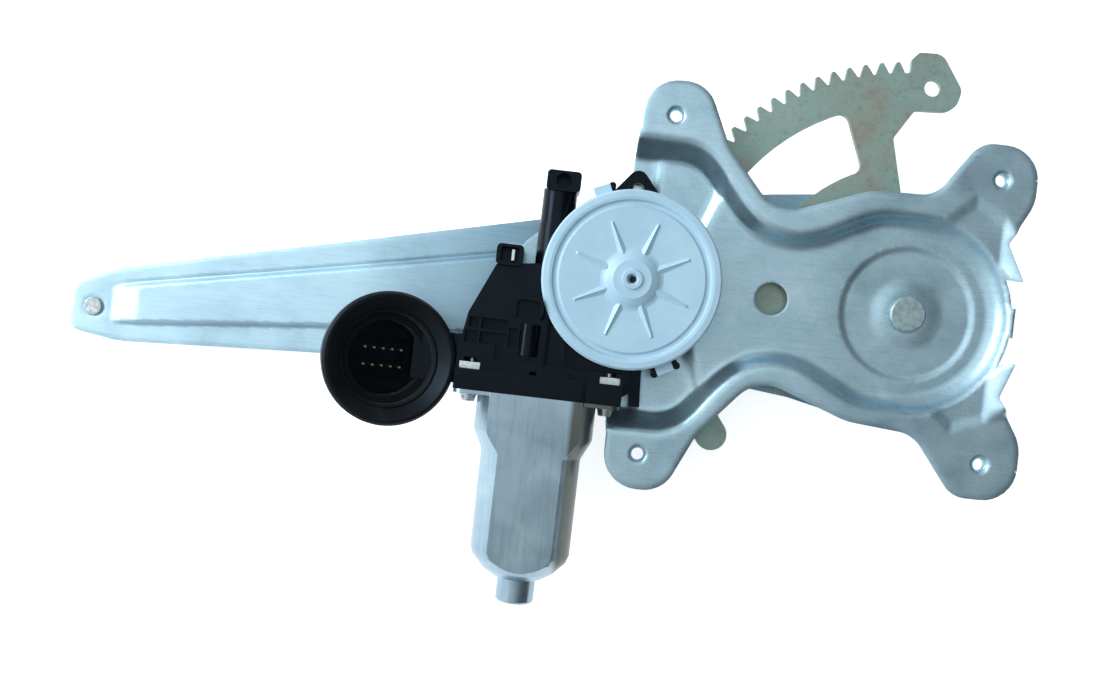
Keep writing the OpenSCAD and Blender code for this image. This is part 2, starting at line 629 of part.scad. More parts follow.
module housing_solid() {
    translate([gear_x, 0, case_bottom]) cylinder(r = case_r, h = case_top - case_bottom, $fn = 96);
    translate([gear_x, 0, strip_z + 0.2]) cylinder(r = boss_r, h = case_bottom - strip_z);
    for (p = mount_screws) translate([p.x, p.y, strip_z]) cylinder(r = p.z, h = seat_z - strip_z);
    // Ear over the upper screw
    translate([gear_x - 11, 26, case_bottom]) linear_extrude(seat_z + 0.8 - case_bottom)
        polygon(rounded_loop([[-1, 0, 0], [23, 0, 0], [20.5, 9.5, 5], [9.8, 22.5, 4], [0.5, 11, 5]], 5));
    // Web between drum and block, block over the lower screw, and the leg beside it
    translate([motor_x + 2, -flange_y + 10, case_bottom]) cube([over_plate - motor_x, 20, 9.4]);
    translate([gear_x - 3.2, -44.4, case_bottom]) cube([6.9, 14, 10]);
    translate([0, 0, recess_z + 0.4]) linear_extrude(5.6)
        polygon([[gear_x + 4, -30], [gear_x + 8.6, -30], [gear_x + 10.1, -51.6], [gear_x + 5.6, -51.6]]);
    // Worm tube with its square end
    along_motor(-tube_reach + end_len - 1) cylinder(r = tube_r, h = tube_reach - end_len + 34);
    along_motor(-20) cylinder(r = tube_r + 0.3, h = flange_y - 10 + 20);
    translate([motor_x + 0.9 - end_w / 2, tube_reach - end_len, -6.6]) rounded_box([end_w, end_len, 14.4], 1.6);
    base_block();
    // Side body with its slanted edge
    translate([0, 0, case_bottom]) linear_extrude(13.4) polygon([
        [motor_x + 6, 4], [motor_x - 22.6, 0.4], [motor_x - 31.8, -20.4], [motor_x - 34, -33.5],
        [motor_x - 34, -flange_y + 8], [motor_x + 10, -flange_y + 8]]);
    // Raised post over a screw, and the choke with its ridge
    translate([post.x, post.y, case_bottom]) rounded_box(post_size, 1.8);
    translate([motor_x - 6, -35.6, 6.4]) rotate([-90, 0, 0]) cylinder(r = 4.1, h = 13);
    translate([motor_x - 13.6, -21, 5]) ridge([12.4, 9.2, 7], 1.3);
    // Fingers beside the cover's tabs
    for (a = [107.5, 290.5, 304.5]) rotate_at(gear_x, a) {
        translate([case_r - 2, -1.1, 1.4]) cube([6, 2.2, 4]);
        translate([case_r + 4, 0, 1.4]) cylinder(r = 1.5, h = 4.6);
    }
}

module rotate_at(x, a) {
    translate([x, 0, 0]) rotate(a) children();
}

module gear_housing() color("#1d1f22") from_pivot() difference() {
    housing_solid();
    // Wheel cavity, sleeve bore, cover seat, room for the cover's skirt
    translate([gear_x, 0, floor_top]) cylinder(r = cavity_r, h = case_top - floor_top + 1, $fn = 96);
    translate([gear_x, 0, strip_z - 2]) cylinder(r = sleeve_r + run_gap, h = 12);
    translate([gear_x, 0, case_top - 1.2]) difference() {
        cylinder(r = case_r - 0.9, h = 2, $fn = 96);
        translate([0, 0, -1]) cylinder(r = case_r - 2.9, h = 4, $fn = 96);
    }
    translate([gear_x, 0, skirt_z - 0.2]) difference() {
        cylinder(r = cover_r + pass_gap, h = 20, $fn = 96);
        translate([0, 0, -1]) cylinder(r = case_r, h = 22, $fn = 96);
    }
    // Worm chamber, bearing seats and the opening towards the motor
    along_motor(-17) cylinder(r = chamber_r, h = 34);
    along_motor(tip_seat) cylinder(r = bearing_r, h = front_at + 0.5 - tip_seat);
    along_motor(front_at) cylinder(r = front_bearing_r, h = flange_y - front_at - 8);
    along_motor(flange_y - 10) cylinder(r = 11, h = 12);
    // Hole in the square end
    translate([motor_x + 0.9, tube_reach - end_len / 2, 1]) cylinder(r = 3.2, h = 8);
    // Pockets in the side body: a narrow and a wide column, and one beside the choke
    translate([motor_x - 31, -26.4, 1.6]) rounded_box([3.9, 4.4, 8], 0.5);
    translate([motor_x - 32.2, -32.6, 1.6]) rounded_box([5.2, 5, 8], 0.5);
    for (y = [-26.4, -32.6]) translate([motor_x - 26, y, 1.6]) rounded_box([10.6, y > -30 ? 4.4 : 5, 8], 0.5);
    translate([motor_x - 14.4, -33, 2]) rounded_box([3.6, 8, 8], 0.5);
    // Pocket in the post
    translate([post.x + 1.7, post.y + 1.1, pocket_z]) rounded_box([post_size.x - 3.4, post_size.y - 2.2, 10], 1.2);
    for (p = mount_screws)
        translate([p.x, p.y, strip_z - 1]) cylinder(r = mount_screw_r, h = seat_z - strip_z + 1 + p[3]);
    for (s = [-1, 1]) translate([motor_x + s * screw_span / 2, 0, 0]) {
        translate([0, -flange_y - 1, 0]) rotate([-90, 0, 0]) cylinder(r = motor_screw_r, h = 15);
        translate([-nut_w / 2, nut_y, -nut_w / 2]) cube([nut_w, nut_t, 30]);
        translate([-2.6, nut_y + nut_t - 0.1, -2.6]) cube([5.2, 2, 30]);
    }
}

module post_clip() color("#c2c9cc") from_pivot()
    translate([post.x + 6.2, post.y + 2, pocket_z]) cube([1.2, 4.6, 6]);

// Steel cover pressed over the case rim

cover_z = case_top + cover_t;
groove_r = 31;
hub_top = cover_z + dome_h;

module cover_ribs(height) {
    for (k = [0:rib_count - 1]) rotate(25.4 + k * 360 / rib_count) translate([10.6, 0, 0])
        polyhedron(
            [[0, -2.1, 0], [0, 2.1, 0], [14.6, 0.8, 0], [14.6, -0.8, 0], [0.6, 0, height], [13.6, 0, height * 0.6]],
            [[0, 2, 1], [0, 3, 2], [1, 4, 0], [2, 4, 1], [2, 5, 4], [3, 5, 2], [0, 4, 3], [3, 4, 5]]);
}

module gear_cover() color("#a9bfca") from_pivot() translate([gear_x, 0, 0]) {
    rotate_extrude($fn = 96) polygon([
        [cover_r, skirt_z], [cover_r, cover_z + 0.4], [cover_r - 0.8, cover_z + 1.1], [cover_r - 3, cover_z + 1.3],
        [groove_r + 1.6, cover_z + 1.1], [groove_r + 0.8, cover_z + 0.1], [groove_r - 0.4, cover_z + 0.1],
        [groove_r - 1.4, cover_z + 0.9], [12.8, cover_z + 0.9], [11.6, cover_z + 1.3], [10, cover_z + 2.3],
        [7.8, hub_top], [4.2, hub_top + 0.1], [3.9, hub_top + 0.9], [2.5, hub_top + 0.9], [1.8, hub_top + 0.3],
        [1.6, hub_top - 1], [0, hub_top - 1], [0, hub_top - 1.6], [pin_r + 2.6, hub_top - 1.6],
        [9.2, cover_z + 1], [12, cover_z - 0.1],
        [groove_r - 2, cover_z - 0.1], [groove_r - 1, cover_z - cover_t], [groove_r + 1.4, cover_z - cover_t],
        [cover_r - cover_t, cover_z - cover_t], [cover_r - cover_t, skirt_z]]);
    translate([0, 0, cover_z + 0.85]) cover_ribs(1.2);
    // Tabs that are bent out under the rim
    for (a = [114, 297]) rotate(a) {
        translate([cover_r - cover_t, -3.5, skirt_z]) cube([cover_t, 7, 2]);
        translate([cover_r - cover_t, -3.5, skirt_z - cover_t]) cube([cover_t + 3.6, 7, cover_t]);
    }
}

module cover_seal() color("#2c2c2b") from_pivot() translate([gear_x, 0, case_top - 1.2]) difference() {
    cylinder(r = case_r - 0.9, h = 1.2, $fn = 96);
    translate([0, 0, -1]) cylinder(r = case_r - 2.9, h = 4, $fn = 96);
}

// Output: fixed pin, pinion with its sleeve, drive plate, damper, worm wheel

pinion_top = sector_z0 + 0.2;
pinion_bottom = pinion_top - pinion_w;
plate_z = wheel_w / 2 - 1.4;
pin_z = pinion_bottom - pass_gap;
plate_thick = 1.8;

module output_pin() color("#c8ccce") from_pivot() translate([gear_x, 0, 0]) rotate_extrude() polygon([
    [0, hub_top - 1.6], [pin_r, hub_top - 1.6], [pin_r, pin_z], [pin_r + 2.4, pin_z],
    [pin_r + 2.4, pin_z - 0.8], [pin_r + 1.8, pin_z - 1.2], [0, pin_z - 1.2]]);

module pinion() color("#8f9496") from_pivot() translate([gear_x, 0, 0]) difference() {
    union() {
        translate([0, 0, pinion_bottom]) linear_extrude(pinion_w)
            polygon([for (k = [0:pinion_z - 1]) each tooth(pinion_z, pinion_pitch_r - 1.12 * gear_m,
                pinion_pitch_r + 0.95 * gear_m, (k + 0.5) * 360 / pinion_z)]);
        translate([0, 0, pinion_top]) cylinder(r = sleeve_r, h = floor_top + 0.1 - pinion_top);
        translate([0, 0, floor_top + 0.1]) cylinder(r = sleeve_r - 1.4, h = plate_z - floor_top - 0.1);
        translate([0, 0, plate_z]) intersection() {
            cylinder(r = sleeve_r - 1.4, h = plate_thick);
            translate([-sleeve_r, -sleeve_r + 2.6, 0]) cube([2 * sleeve_r, 2 * sleeve_r - 5.2, plate_thick]);
        }
    }
    translate([0, 0, pinion_bottom - 1]) cylinder(r = pin_r + run_gap, h = 30);
}

lug_count = 3;
damper_in = 11;
damper_out = 22;
web_t = 2;

module drive_plate() color("#9ea3a3") from_pivot() translate([gear_x, 0, 0]) {
    difference() {
        translate([0, 0, plate_z]) cylinder(r = damper_out - 0.6, h = plate_thick);
        translate([0, 0, plate_z - 1]) intersection() {
            cylinder(r = sleeve_r - 1.4, h = plate_thick + 2);
            translate([-sleeve_r, -sleeve_r + 2.6, 0]) cube([2 * sleeve_r, 2 * sleeve_r - 5.2, plate_thick + 2]);
        }
    }
    for (k = [0:lug_count - 1]) rotate(k * 360 / lug_count + 60)
        translate([damper_in + 2, -1.5, floor_top + web_t + 0.8]) cube([7, 3, plate_z - floor_top - web_t - 0.6]);
}

module damper() color("#26282a") from_pivot() translate([gear_x, 0, floor_top + web_t + 0.5]) difference() {
    cylinder(r = damper_out, h = 3.2);
    translate([0, 0, -1]) cylinder(r = damper_in, h = 6);
    for (k = [0:lug_count - 1]) rotate(k * 360 / lug_count) {
        translate([damper_in - 1, -1.6, -1]) cube([damper_out - damper_in + 3, 3.2, 6]);
        rotate(60) translate([damper_in + 1.6, -1.9, -1]) cube([7.8, 3.8, 6]);
    }
}

wheel_tip_r = wheel_pitch_r + 0.8 * worm_m;
wheel_root_r = wheel_pitch_r - worm_m;
lead_angle = atan(worm_m / (2 * worm_r));
tooth_half = 0.7;

module wheel_teeth() {
    step = 360 / wheel_z;
    root_half = (tooth_half + 0.36) / wheel_root_r * 180 / PI;
    tip_half = (tooth_half - 0.3) / wheel_tip_r * 180 / PI;
    lean = wheel_w * tan(lead_angle) / wheel_pitch_r * 180 / PI;
    rotate(-lean / 2) translate([0, 0, -wheel_w / 2]) linear_extrude(wheel_w, twist = -lean, slices = 2)
        polygon([for (k = [0:wheel_z - 1]) let (a = 180 + (k + 0.5) * step) each [
            polar(wheel_root_r, a - root_half), polar(wheel_tip_r, a - tip_half),
            polar(wheel_tip_r, a + tip_half), polar(wheel_root_r, a + root_half)]]);
}

module worm_wheel() color("#e6dcc0") from_pivot() translate([gear_x, 0, 0]) {
    difference() {
        wheel_teeth();
        translate([0, 0, -wheel_w]) cylinder(r = damper_out + 1.8, h = 2 * wheel_w);
    }
    difference() {
        translate([0, 0, -wheel_w / 2]) cylinder(r = damper_out + 1.8, h = wheel_w);
        translate([0, 0, -wheel_w / 2 + web_t]) cylinder(r = damper_out + 0.05, h = wheel_w);
        translate([0, 0, -wheel_w]) cylinder(r = sleeve_r - 1.4 + run_gap, h = 2 * wheel_w);
    }
    difference() {
        translate([0, 0, -wheel_w / 2 + web_t]) cylinder(r = damper_in - 0.6, h = 2.6);
        translate([0, 0, -wheel_w]) cylinder(r = sleeve_r - 1.4 + run_gap, h = 2 * wheel_w);
    }
    for (k = [0:lug_count - 1]) rotate(k * 360 / lug_count)
        translate([damper_in - 0.8, -1.4, -wheel_w / 2 + web_t]) cube([damper_out - damper_in + 1, 2.8, 2.6]);
}

// Armature

worm_root_r = worm_r - 1.25 * worm_m;
worm_tip_r = worm_r + 0.75 * worm_m;
shaft_top = tip_seat + 2;
core_at = flange_y + (can_len - core_len) / 2 + 5.6;
com_at = flange_y + 6;
shaft_end = flange_y + can_len + nub_len - 4;

// One start of worm thread, swept along a helix about Z
module worm_thread() {
    turns = worm_len / worm_pitch;
    steps = 16;
    n = round(turns * steps);
    root_w = 1.12;
    tip_w = 0.42;
    ring = [[worm_root_r - 0.3, -root_w], [worm_tip_r, -tip_w], [worm_tip_r, tip_w], [worm_root_r - 0.3, root_w]];
    points = [for (k = [0:n], p = ring) let (a = 360 * k / steps, z = worm_pitch * k / steps - worm_len / 2)
        let (fade = min(1, 0.2 + min(k, n - k) / (steps / 2)))
        [(worm_root_r - 0.3 + (p[0] - worm_root_r + 0.3) * fade) * cos(a),
         (worm_root_r - 0.3 + (p[0] - worm_root_r + 0.3) * fade) * sin(a), z + p[1] * (0.5 + 0.5 * fade)]];
    sides = [for (k = [0:n - 1], j = [0:3]) let (a = 4 * k + j, b = 4 * k + (j + 1) % 4)
        each [[a, b, b + 4], [a, b + 4, a + 4]]];
    polyhedron(points, concat(sides, [[0, 2, 1], [0, 3, 2]], [[4 * n, 4 * n + 1, 4 * n + 2], [4 * n, 4 * n + 2, 4 * n + 3]]));
}

module armature_shaft() color("#c9cdd0") from_pivot() along_motor() {
    translate([0, 0, shaft_top]) cylinder(r = shaft_r, h = shaft_end - shaft_top);
    translate([0, 0, -worm_len / 2 - 2]) cylinder(r = worm_root_r, h = worm_len + 4);
    rotate(worm_phase) worm_thread();
}

worm_phase = -180 * worm_len / worm_pitch;
slot_w = 1.6;

module armature_core() color("#6e7377") from_pivot() along_motor() translate([0, 0, core_at]) difference() {
    cylinder(r = core_r, h = core_len, $fn = 72);
    translate([0, 0, -1]) cylinder(r = shaft_r, h = core_len + 2);
    for (k = [0:slot_count - 1]) rotate(k * 360 / slot_count) {
        translate([core_r - 2, -slot_w / 2, -1]) cube([4, slot_w, core_len + 2]);
        translate([core_r - 4.6, 0, -1]) cylinder(r = 2.4, h = core_len + 2, $fn = 20);
    }
}

module armature_windings() color("#a8602f") from_pivot() along_motor() {
    for (k = [0:slot_count - 1]) rotate(k * 360 / slot_count)
        translate([core_r - 4.6, 0, core_at - 0.5]) cylinder(r = 2, h = core_len + 1, $fn = 16);
    for (at = [core_at - 5, core_at + core_len + 0.2]) translate([0, 0, at]) difference() {
        cylinder(r = core_r - 1.6, h = 4.8);
        translate([0, 0, -1]) cylinder(r = shaft_r + 0.5, h = 8);
    }
}

com_r = 8.6;
com_len = 12;

module commutator() color("#b3703c") from_pivot() along_motor() translate([0, 0, com_at]) difference() {
    cylinder(r = com_r, h = com_len);
    translate([0, 0, -1]) cylinder(r = shaft_r, h = com_len + 2);
    for (k = [0:slot_count - 1]) rotate(k * 360 / slot_count) translate([com_r - 1, -0.3, -1]) cube([2, 0.6, com_len + 2]);
}

// Bearings that carry the shaft
module bush(at, r, h) along_motor(at) difference() {
    cylinder(r = r, h = h);
    translate([0, 0, -1]) cylinder(r = shaft_r + run_gap, h = h + 2);
}

module tip_bearing() color("#a8843c") from_pivot() bush(shaft_top + 1, bearing_r, 6);
module front_bearing() color("#a8843c") from_pivot() bush(front_at, front_bearing_r, 6);
module rear_bearing() color("#a8843c") from_pivot() bush(shaft_end - 7, nub_r - can_t, 7);

module thrust_plug() color("#d8d4c4") from_pivot() along_motor(tip_seat)
    cylinder(r = bearing_r, h = shaft_top - pass_gap - tip_seat);

// Motor can: drawn tube with two flats, a flange and a nub

module can_form(shrink) {
    big = can_big_r - shrink;
    small = can_r - shrink;
    rotate_extrude($fn = 72) polygon([
        [0, 0], [big, 0], [big, can_big_len - 1], [big - 0.6, can_big_len + 0.6], [small + 0.5, can_big_len + 6.4],
        [small, can_big_len + 7.8], [small, can_len - 11], [small - 1, can_len - 8], [small - 5.6, can_len - 3],
        [nub_r + 2.6 - shrink, can_len - shrink], [0, can_len - shrink]]);
}

module flat_cut(half, length) {
    translate([-40, -half, -2]) cube([80, 2 * half, length]);
}

module motor_can() color("#b4bcbe") from_pivot() along_motor(flange_y) difference() {
    union() {
        intersection() {
            can_form(0);
            flat_cut(can_flat, can_len + 4);
        }
        translate([0, 0, can_len - 2]) cylinder(r = nub_r, h = nub_len + 1);
        translate([0, 0, can_len + nub_len - 1]) cylinder(r1 = nub_r, r2 = nub_r - 0.9, h = 1);
        translate([-flange_l / 2, -flange_d / 2, 0]) rounded_box([flange_l, flange_d, flange_t], 4);
    }
    translate([over_plate - motor_x, -flange_d, -1]) cube([20, flange_d + over_plate_z, 4]);
    intersection() {
        translate([0, 0, -0.01]) can_form(can_t);
        flat_cut(can_flat - can_t, can_len + 4);
    }
    translate([0, 0, can_len - 6]) cylinder(r = nub_r - can_t, h = nub_len + 4.4);
    for (s = [-1, 1]) translate([s * screw_span / 2, 0, -1]) cylinder(r = motor_screw_r, h = 4);
}

magnet_t = 3.9;

module magnets() color("#3c3c3e") from_pivot() along_motor(core_at - 3) intersection() {
    difference() {
        cylinder(r = can_r - can_t, h = core_len + 6, $fn = 72);
        translate([0, 0, -1]) cylinder(r = can_r - can_t - magnet_t, h = core_len + 8, $fn = 72);
    }
    for (s = [0, 180]) rotate(s) linear_extrude(core_len + 6) polygon([[0, 0], [30, 28], [30, -28]]);
    flat_cut(can_flat - can_t - 0.2, core_len + 20);
}

module brush_holder() color("#3a3733") from_pivot() along_motor(flange_y + 2) difference() {
    union() {
        intersection() {
            cylinder(r = can_big_r - can_t - 0.3, h = 3);
            flat_cut(can_flat - can_t - 0.2, 10);
        }
        for (s = [-1, 1]) translate([s * 16 - 5.4, -4.6, 2.9]) cube([10.8, 9.2, 9]);
    }
    translate([0, 0, -1]) cylinder(r = com_r + 1.4, h = 20);
    for (s = [-1, 1]) translate([s * 16 - 8, -3.1, 4.4]) cube([16, 6.2, 6]);
}

module brushes() color("#2f2f31") from_pivot() along_motor(flange_y + 6.4)
    for (s = [0, 180]) rotate(s) translate([com_r + 0.3, -3.1, 0]) cube([9.4, 6.2, 6]);

// Fasteners

// Pan head screw along local -Z with its head on z = 0
module screw(r, length, head_r, head_h) {
    difference() {
        union() {
            translate([0, 0, -length]) cylinder(r = r, h = length);
            cylinder(r1 = head_r, r2 = head_r * 0.8, h = head_h);
        }
        for (a = [0, 90]) rotate(a) translate([-head_r * 0.55, -0.45, head_h - 1]) cube([head_r * 1.1, 0.9, 2]);
    }
}

module motor_screws() color("#c4cacc") from_pivot()
    for (s = [-1, 1]) translate([motor_x + s * screw_span / 2, -flange_y - flange_t, 0]) rotate([90, 0, 0]) {
        cylinder(r = 3.7, h = 0.9);
        translate([0, 0, 0.8]) screw(motor_screw_r, nut_y + nut_t + flange_y + flange_t + 2.2, 3.4, 2.8);
    }

module motor_nuts() color("#ccd2d3") from_pivot()
    for (s = [-1, 1]) translate([motor_x + s * screw_span / 2 - nut_w / 2, nut_y, -nut_w / 2]) difference() {
        cube([nut_w, nut_t, 15]);
        translate([nut_w / 2, -1, nut_w / 2]) rotate([-90, 0, 0]) cylinder(r = motor_screw_r, h = 6);
    }

module mounting_screws() color("#aeb4b4") from_pivot()
    for (p = mount_screws) translate([p.x, p.y, strip_z - plate_t]) rotate([180, 0, 0])
        screw(mount_screw_r, mount_grip, mount_head_r, mount_head_h);

// Connector: body fixed to the housing, rubber boot, terminals

boot_back = -9;
boot_lip = boot_r * cos(boot_tilt) + (boot_len + boot_back) * sin(boot_tilt);
boot_at = [block_left - pass_gap - boot_lip, -42.9, 0];
shell_r = boot_bore_r - 3.2;
shell_h = 8;
shell_floor = 3;
pocket_size = [22, 17.2];
terminal_size = [1, 0.8, shell_h - shell_floor - 0.6];
boot_foot = shell_h + 6.8;
neck = [boot_at.x + 12, -flange_y + 1.6, boot_back];
neck_size = [block_left - neck.x, 20.4, 9.5];

module at_boot() {
    translate(boot_at) rotate([0, boot_tilt, 0]) children();
}

module connector_body() color("#17181a") from_pivot() difference() {
    union() {
        translate(neck) cube(neck_size);
        at_boot() translate([0, 0, boot_back]) cylinder(r = shell_r, h = shell_h);
    }
    at_boot() translate([-pocket_size.x / 2, -pocket_size.y / 2, boot_back + shell_floor])
        rounded_box([pocket_size.x, pocket_size.y, 20], 2);
}

module connector_boot() color("#141516") from_pivot() difference() {
    at_boot() translate([0, 0, boot_back]) rotate_extrude($fn = 72) polygon([
        [shell_r, 0], [boot_r - 3.4, 0], [boot_r - 2.4, 2], [boot_r - 2.4, boot_len - 7], [boot_r, boot_len - 4],
        [boot_r, boot_len - 1], [boot_r - 1, boot_len], [boot_r - 2.2, boot_len], [boot_r - 2.8, boot_len - 0.8],
        [boot_bore_r + 1.6, boot_len - 4.5], [boot_bore_r + 1, boot_len - 3.9], [boot_bore_r, boot_len - 4.5],
        [boot_bore_r, boot_foot], [shell_r, boot_foot]]);
    translate(neck) cube([60, neck_size.y, neck_size.z]);
}

module terminals() color("#b9a36a") from_pivot() at_boot()
    for (i = [0:terminal_count - 1], j = [-1, 1])
        translate([(i - (terminal_count - 1) / 2) * 3.8 - terminal_size.x / 2, j * 3.6 - terminal_size.y / 2,
            boot_back + shell_floor]) cube(terminal_size);

base_plate();
pivot_rivet();
pivot_washer();
sector_gear();
lift_arm();
arm_rivets();
roller_stud();
roller();
gear_housing();
gear_cover();
cover_seal();
output_pin();
pinion();
drive_plate();
damper();
worm_wheel();
armature_shaft();
armature_core();
armature_windings();
commutator();
front_bearing();
tip_bearing();
rear_bearing();
thrust_plug();
motor_can();
magnets();
brush_holder();
brushes();
motor_screws();
motor_nuts();
mounting_screws();
post_clip();
connector_body();
connector_boot();
terminals();
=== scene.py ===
import math

import bpy
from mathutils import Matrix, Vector
from mathutils.bvhtree import BVHTree
from mathutils.geometry import delaunay_2d_cdt
from mathutils.kdtree import KDTree


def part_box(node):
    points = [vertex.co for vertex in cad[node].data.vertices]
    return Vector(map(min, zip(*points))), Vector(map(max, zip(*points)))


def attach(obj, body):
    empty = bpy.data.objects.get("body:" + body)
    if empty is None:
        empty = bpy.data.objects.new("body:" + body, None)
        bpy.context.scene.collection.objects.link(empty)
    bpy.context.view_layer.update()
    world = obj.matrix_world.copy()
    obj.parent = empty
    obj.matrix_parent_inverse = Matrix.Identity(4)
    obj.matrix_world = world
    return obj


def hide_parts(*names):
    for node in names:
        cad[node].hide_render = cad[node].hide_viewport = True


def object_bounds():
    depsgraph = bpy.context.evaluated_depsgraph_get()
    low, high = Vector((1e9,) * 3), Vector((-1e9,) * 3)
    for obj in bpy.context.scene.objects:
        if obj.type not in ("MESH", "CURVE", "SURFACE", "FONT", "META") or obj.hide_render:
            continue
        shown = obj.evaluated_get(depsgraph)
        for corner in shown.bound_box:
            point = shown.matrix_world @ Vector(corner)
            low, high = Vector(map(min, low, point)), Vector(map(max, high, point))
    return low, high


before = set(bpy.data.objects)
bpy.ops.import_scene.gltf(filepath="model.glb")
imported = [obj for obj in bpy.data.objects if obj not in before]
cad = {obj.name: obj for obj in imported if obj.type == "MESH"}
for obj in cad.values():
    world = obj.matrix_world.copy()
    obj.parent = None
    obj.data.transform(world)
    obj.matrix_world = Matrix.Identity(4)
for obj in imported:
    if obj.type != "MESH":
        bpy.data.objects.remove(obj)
cad_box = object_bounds()
MM = 0.001


# Base plate
# One blank of 1.6 mm steel, drawn in a press to a pan with a sloping wall, a motor recess and a
# pivot dish, then zinc plated and given a blue passivate. The four ears bolt to the door.

def linear(code):
    """Linear colour of an sRGB hex code, as a shader socket takes it."""
    parts = [int(code[i:i + 2], 16) / 255 for i in (1, 3, 5)]
    return [c / 12.92 if c <= 0.04045 else ((c + 0.055) / 1.055) ** 2.4 for c in parts] + [1.0]


def add(tree, kind, settings=None, links=None):
    """Adds one node with its settings and its links, and gives it back."""
    made = tree.nodes.new(kind)
    for key, value in (settings or {}).items():
        if key == "stops":
            band = made.color_ramp.elements
            while len(band) < len(value):
                band.new(0.5)
            for stop, (place, code) in zip(band, value):
                stop.position = place
                stop.color = linear(code)
        elif isinstance(key, int) or key in made.inputs:
            made.inputs[key].default_value = value
        else:
            setattr(made, key, value)
    for key, source in (links or {}).items():
        tree.links.new(source, made.inputs[key])
    return made


def start_material(name, roughness, metallic=0.0):
    """New material with its node tree and its Principled shader."""
    material = bpy.data.materials.new(name)
    material.use_nodes = True
    shader = material.node_tree.nodes["Principled BSDF"]
    shader.inputs["Roughness"].default_value = roughness
    shader.inputs["Metallic"].default_value = metallic
    return material, material.node_tree, shader


def grain(size_mm):
    """Noise scale whose features are about this many millimetres across."""
    return 1000.0 / size_mm


# A colour multiplied by another in a Mix node, and the numbers of that node's colour sockets
tint = {"data_type": "RGBA", "blend_type": "MULTIPLY"}
under = 6
over = 7
mixed = 2
# The part of a noise's range that it really fills
middle_of_noise = {"From Min": 0.3, "From Max": 0.7}
# CAD points that are nearer to each other than this become one, in millimetres
weld_gap = 0.002


def dress(name, material, round_mm=0.0, angle=35):
    """Gives a CAD node its material and, where asked, a broken edge."""
    piece = cad[name]
    if not piece.material_slots:
        piece.data.materials.append(material)
    for place in piece.material_slots:
        place.material = material
    if round_mm:
        weld = piece.modifiers.new("joined faces", "WELD")
        weld.merge_threshold = weld_gap * MM
        edge = piece.modifiers.new("broken edge", "BEVEL")
        edge.width = round_mm * MM
        edge.segments = 2
        edge.limit_method = "ANGLE"
        edge.angle_limit = math.radians(angle)
        shade = piece.modifiers.new("even shading", "WEIGHTED_NORMAL")
        shade.keep_sharp = False


# Zinc electroplate with a blue passivate: a satin metal with cloudy stains from handling, fine
# speckle from the bath, faint draw lines along the sheet, fainter short scratches and a slightly
# uneven gloss.
zinc_plate, tree, shader = start_material("zinc plated steel sheet", 0.34, 0.82)
place = add(tree, "ShaderNodeTexCoord").outputs["Object"]
settings = {"Scale": grain(26), "Detail": 5.0, "Roughness": 0.6}
cloud = add(tree, "ShaderNodeTexNoise", settings, {"Vector": place}).outputs["Fac"]
settings = {"Scale": grain(0.8), "Detail": 3.0, "Roughness": 0.6}
speck = add(tree, "ShaderNodeTexNoise", settings, {"Vector": place}).outputs["Fac"]
settings = {"Rotation": (0, 0, 0.5), "Scale": (1.0, 12.0, 1.0)}
turned = add(tree, "ShaderNodeMapping", settings, {"Vector": place})
settings = {"Scale": grain(11), "Detail": 6.0, "Roughness": 0.7}
draw = add(tree, "ShaderNodeTexNoise", settings, {"Vector": turned.outputs["Vector"]}).outputs["Fac"]
stops = [(0.30, "#98bacb"), (0.47, "#abcede"), (0.60, "#b6d8e8"), (0.72, "#c5e2f0")]
tone = add(tree, "ShaderNodeValToRGB", {"stops": stops}, {"Fac": cloud}).outputs["Color"]
stops = [(0.36, "#d3dadd"), (0.5, "#f6fafb"), (0.66, "#ffffff")]
lines = add(tree, "ShaderNodeValToRGB", {"stops": stops}, {"Fac": draw}).outputs["Color"]
stops = [(0.3, "#d8dee0"), (0.46, "#ffffff"), (0.7, "#ffffff")]
specks = add(tree, "ShaderNodeValToRGB", {"stops": stops}, {"Fac": speck}).outputs["Color"]
tone = add(tree, "ShaderNodeMix", {**tint, "Factor": 0.3}, {under: tone, over: lines}).outputs[mixed]
tone = add(tree, "ShaderNodeMix", {**tint, "Factor": 0.6}, {under: tone, over: specks}).outputs[mixed]
settings = {"Rotation": (0, 0, -0.8), "Scale": (1.0, 14.0, 1.0)}
crossed = add(tree, "ShaderNodeMapping", settings, {"Vector": place})
settings = {"Scale": grain(14), "Detail": 2.0, "Roughness": 0.5, "Distortion": 0.6}
scratch = add(tree, "ShaderNodeTexNoise", settings, {"Vector": crossed.outputs["Vector"]}).outputs["Fac"]
stops = [(0.63, "#ffffff"), (0.655, "#aab4ba"), (0.68, "#ffffff")]
scratch = add(tree, "ShaderNodeValToRGB", {"stops": stops}, {"Fac": scratch}).outputs["Color"]
tone = add(tree, "ShaderNodeMix", {**tint, "Factor": 0.3}, {under: tone, over: scratch}).outputs[mixed]
tree.links.new(tone, shader.inputs["Base Color"])
settings = {**middle_of_noise, "To Min": 0.28, "To Max": 0.4}
gloss = add(tree, "ShaderNodeMapRange", settings, {"Value": cloud}).outputs["Result"]
settings = {**middle_of_noise, "To Min": -0.04, "To Max": 0.04}
uneven = add(tree, "ShaderNodeMapRange", settings, {"Value": speck}).outputs["Result"]
gloss = add(tree, "ShaderNodeMath", {"operation": "ADD"}, {0: gloss, 1: uneven}).outputs["Value"]
tree.links.new(gloss, shader.inputs["Roughness"])
relief = add(tree, "ShaderNodeBump", {"Strength": 0.12, "Distance": 0.05 * MM}, {"Height": speck})
settings = {"Strength": 0.12, "Distance": 0.15 * MM}
relief = add(tree, "ShaderNodeBump", settings, {"Height": draw, "Normal": relief.outputs["Normal"]})
tree.links.new(relief.outputs["Normal"], shader.inputs["Normal"])


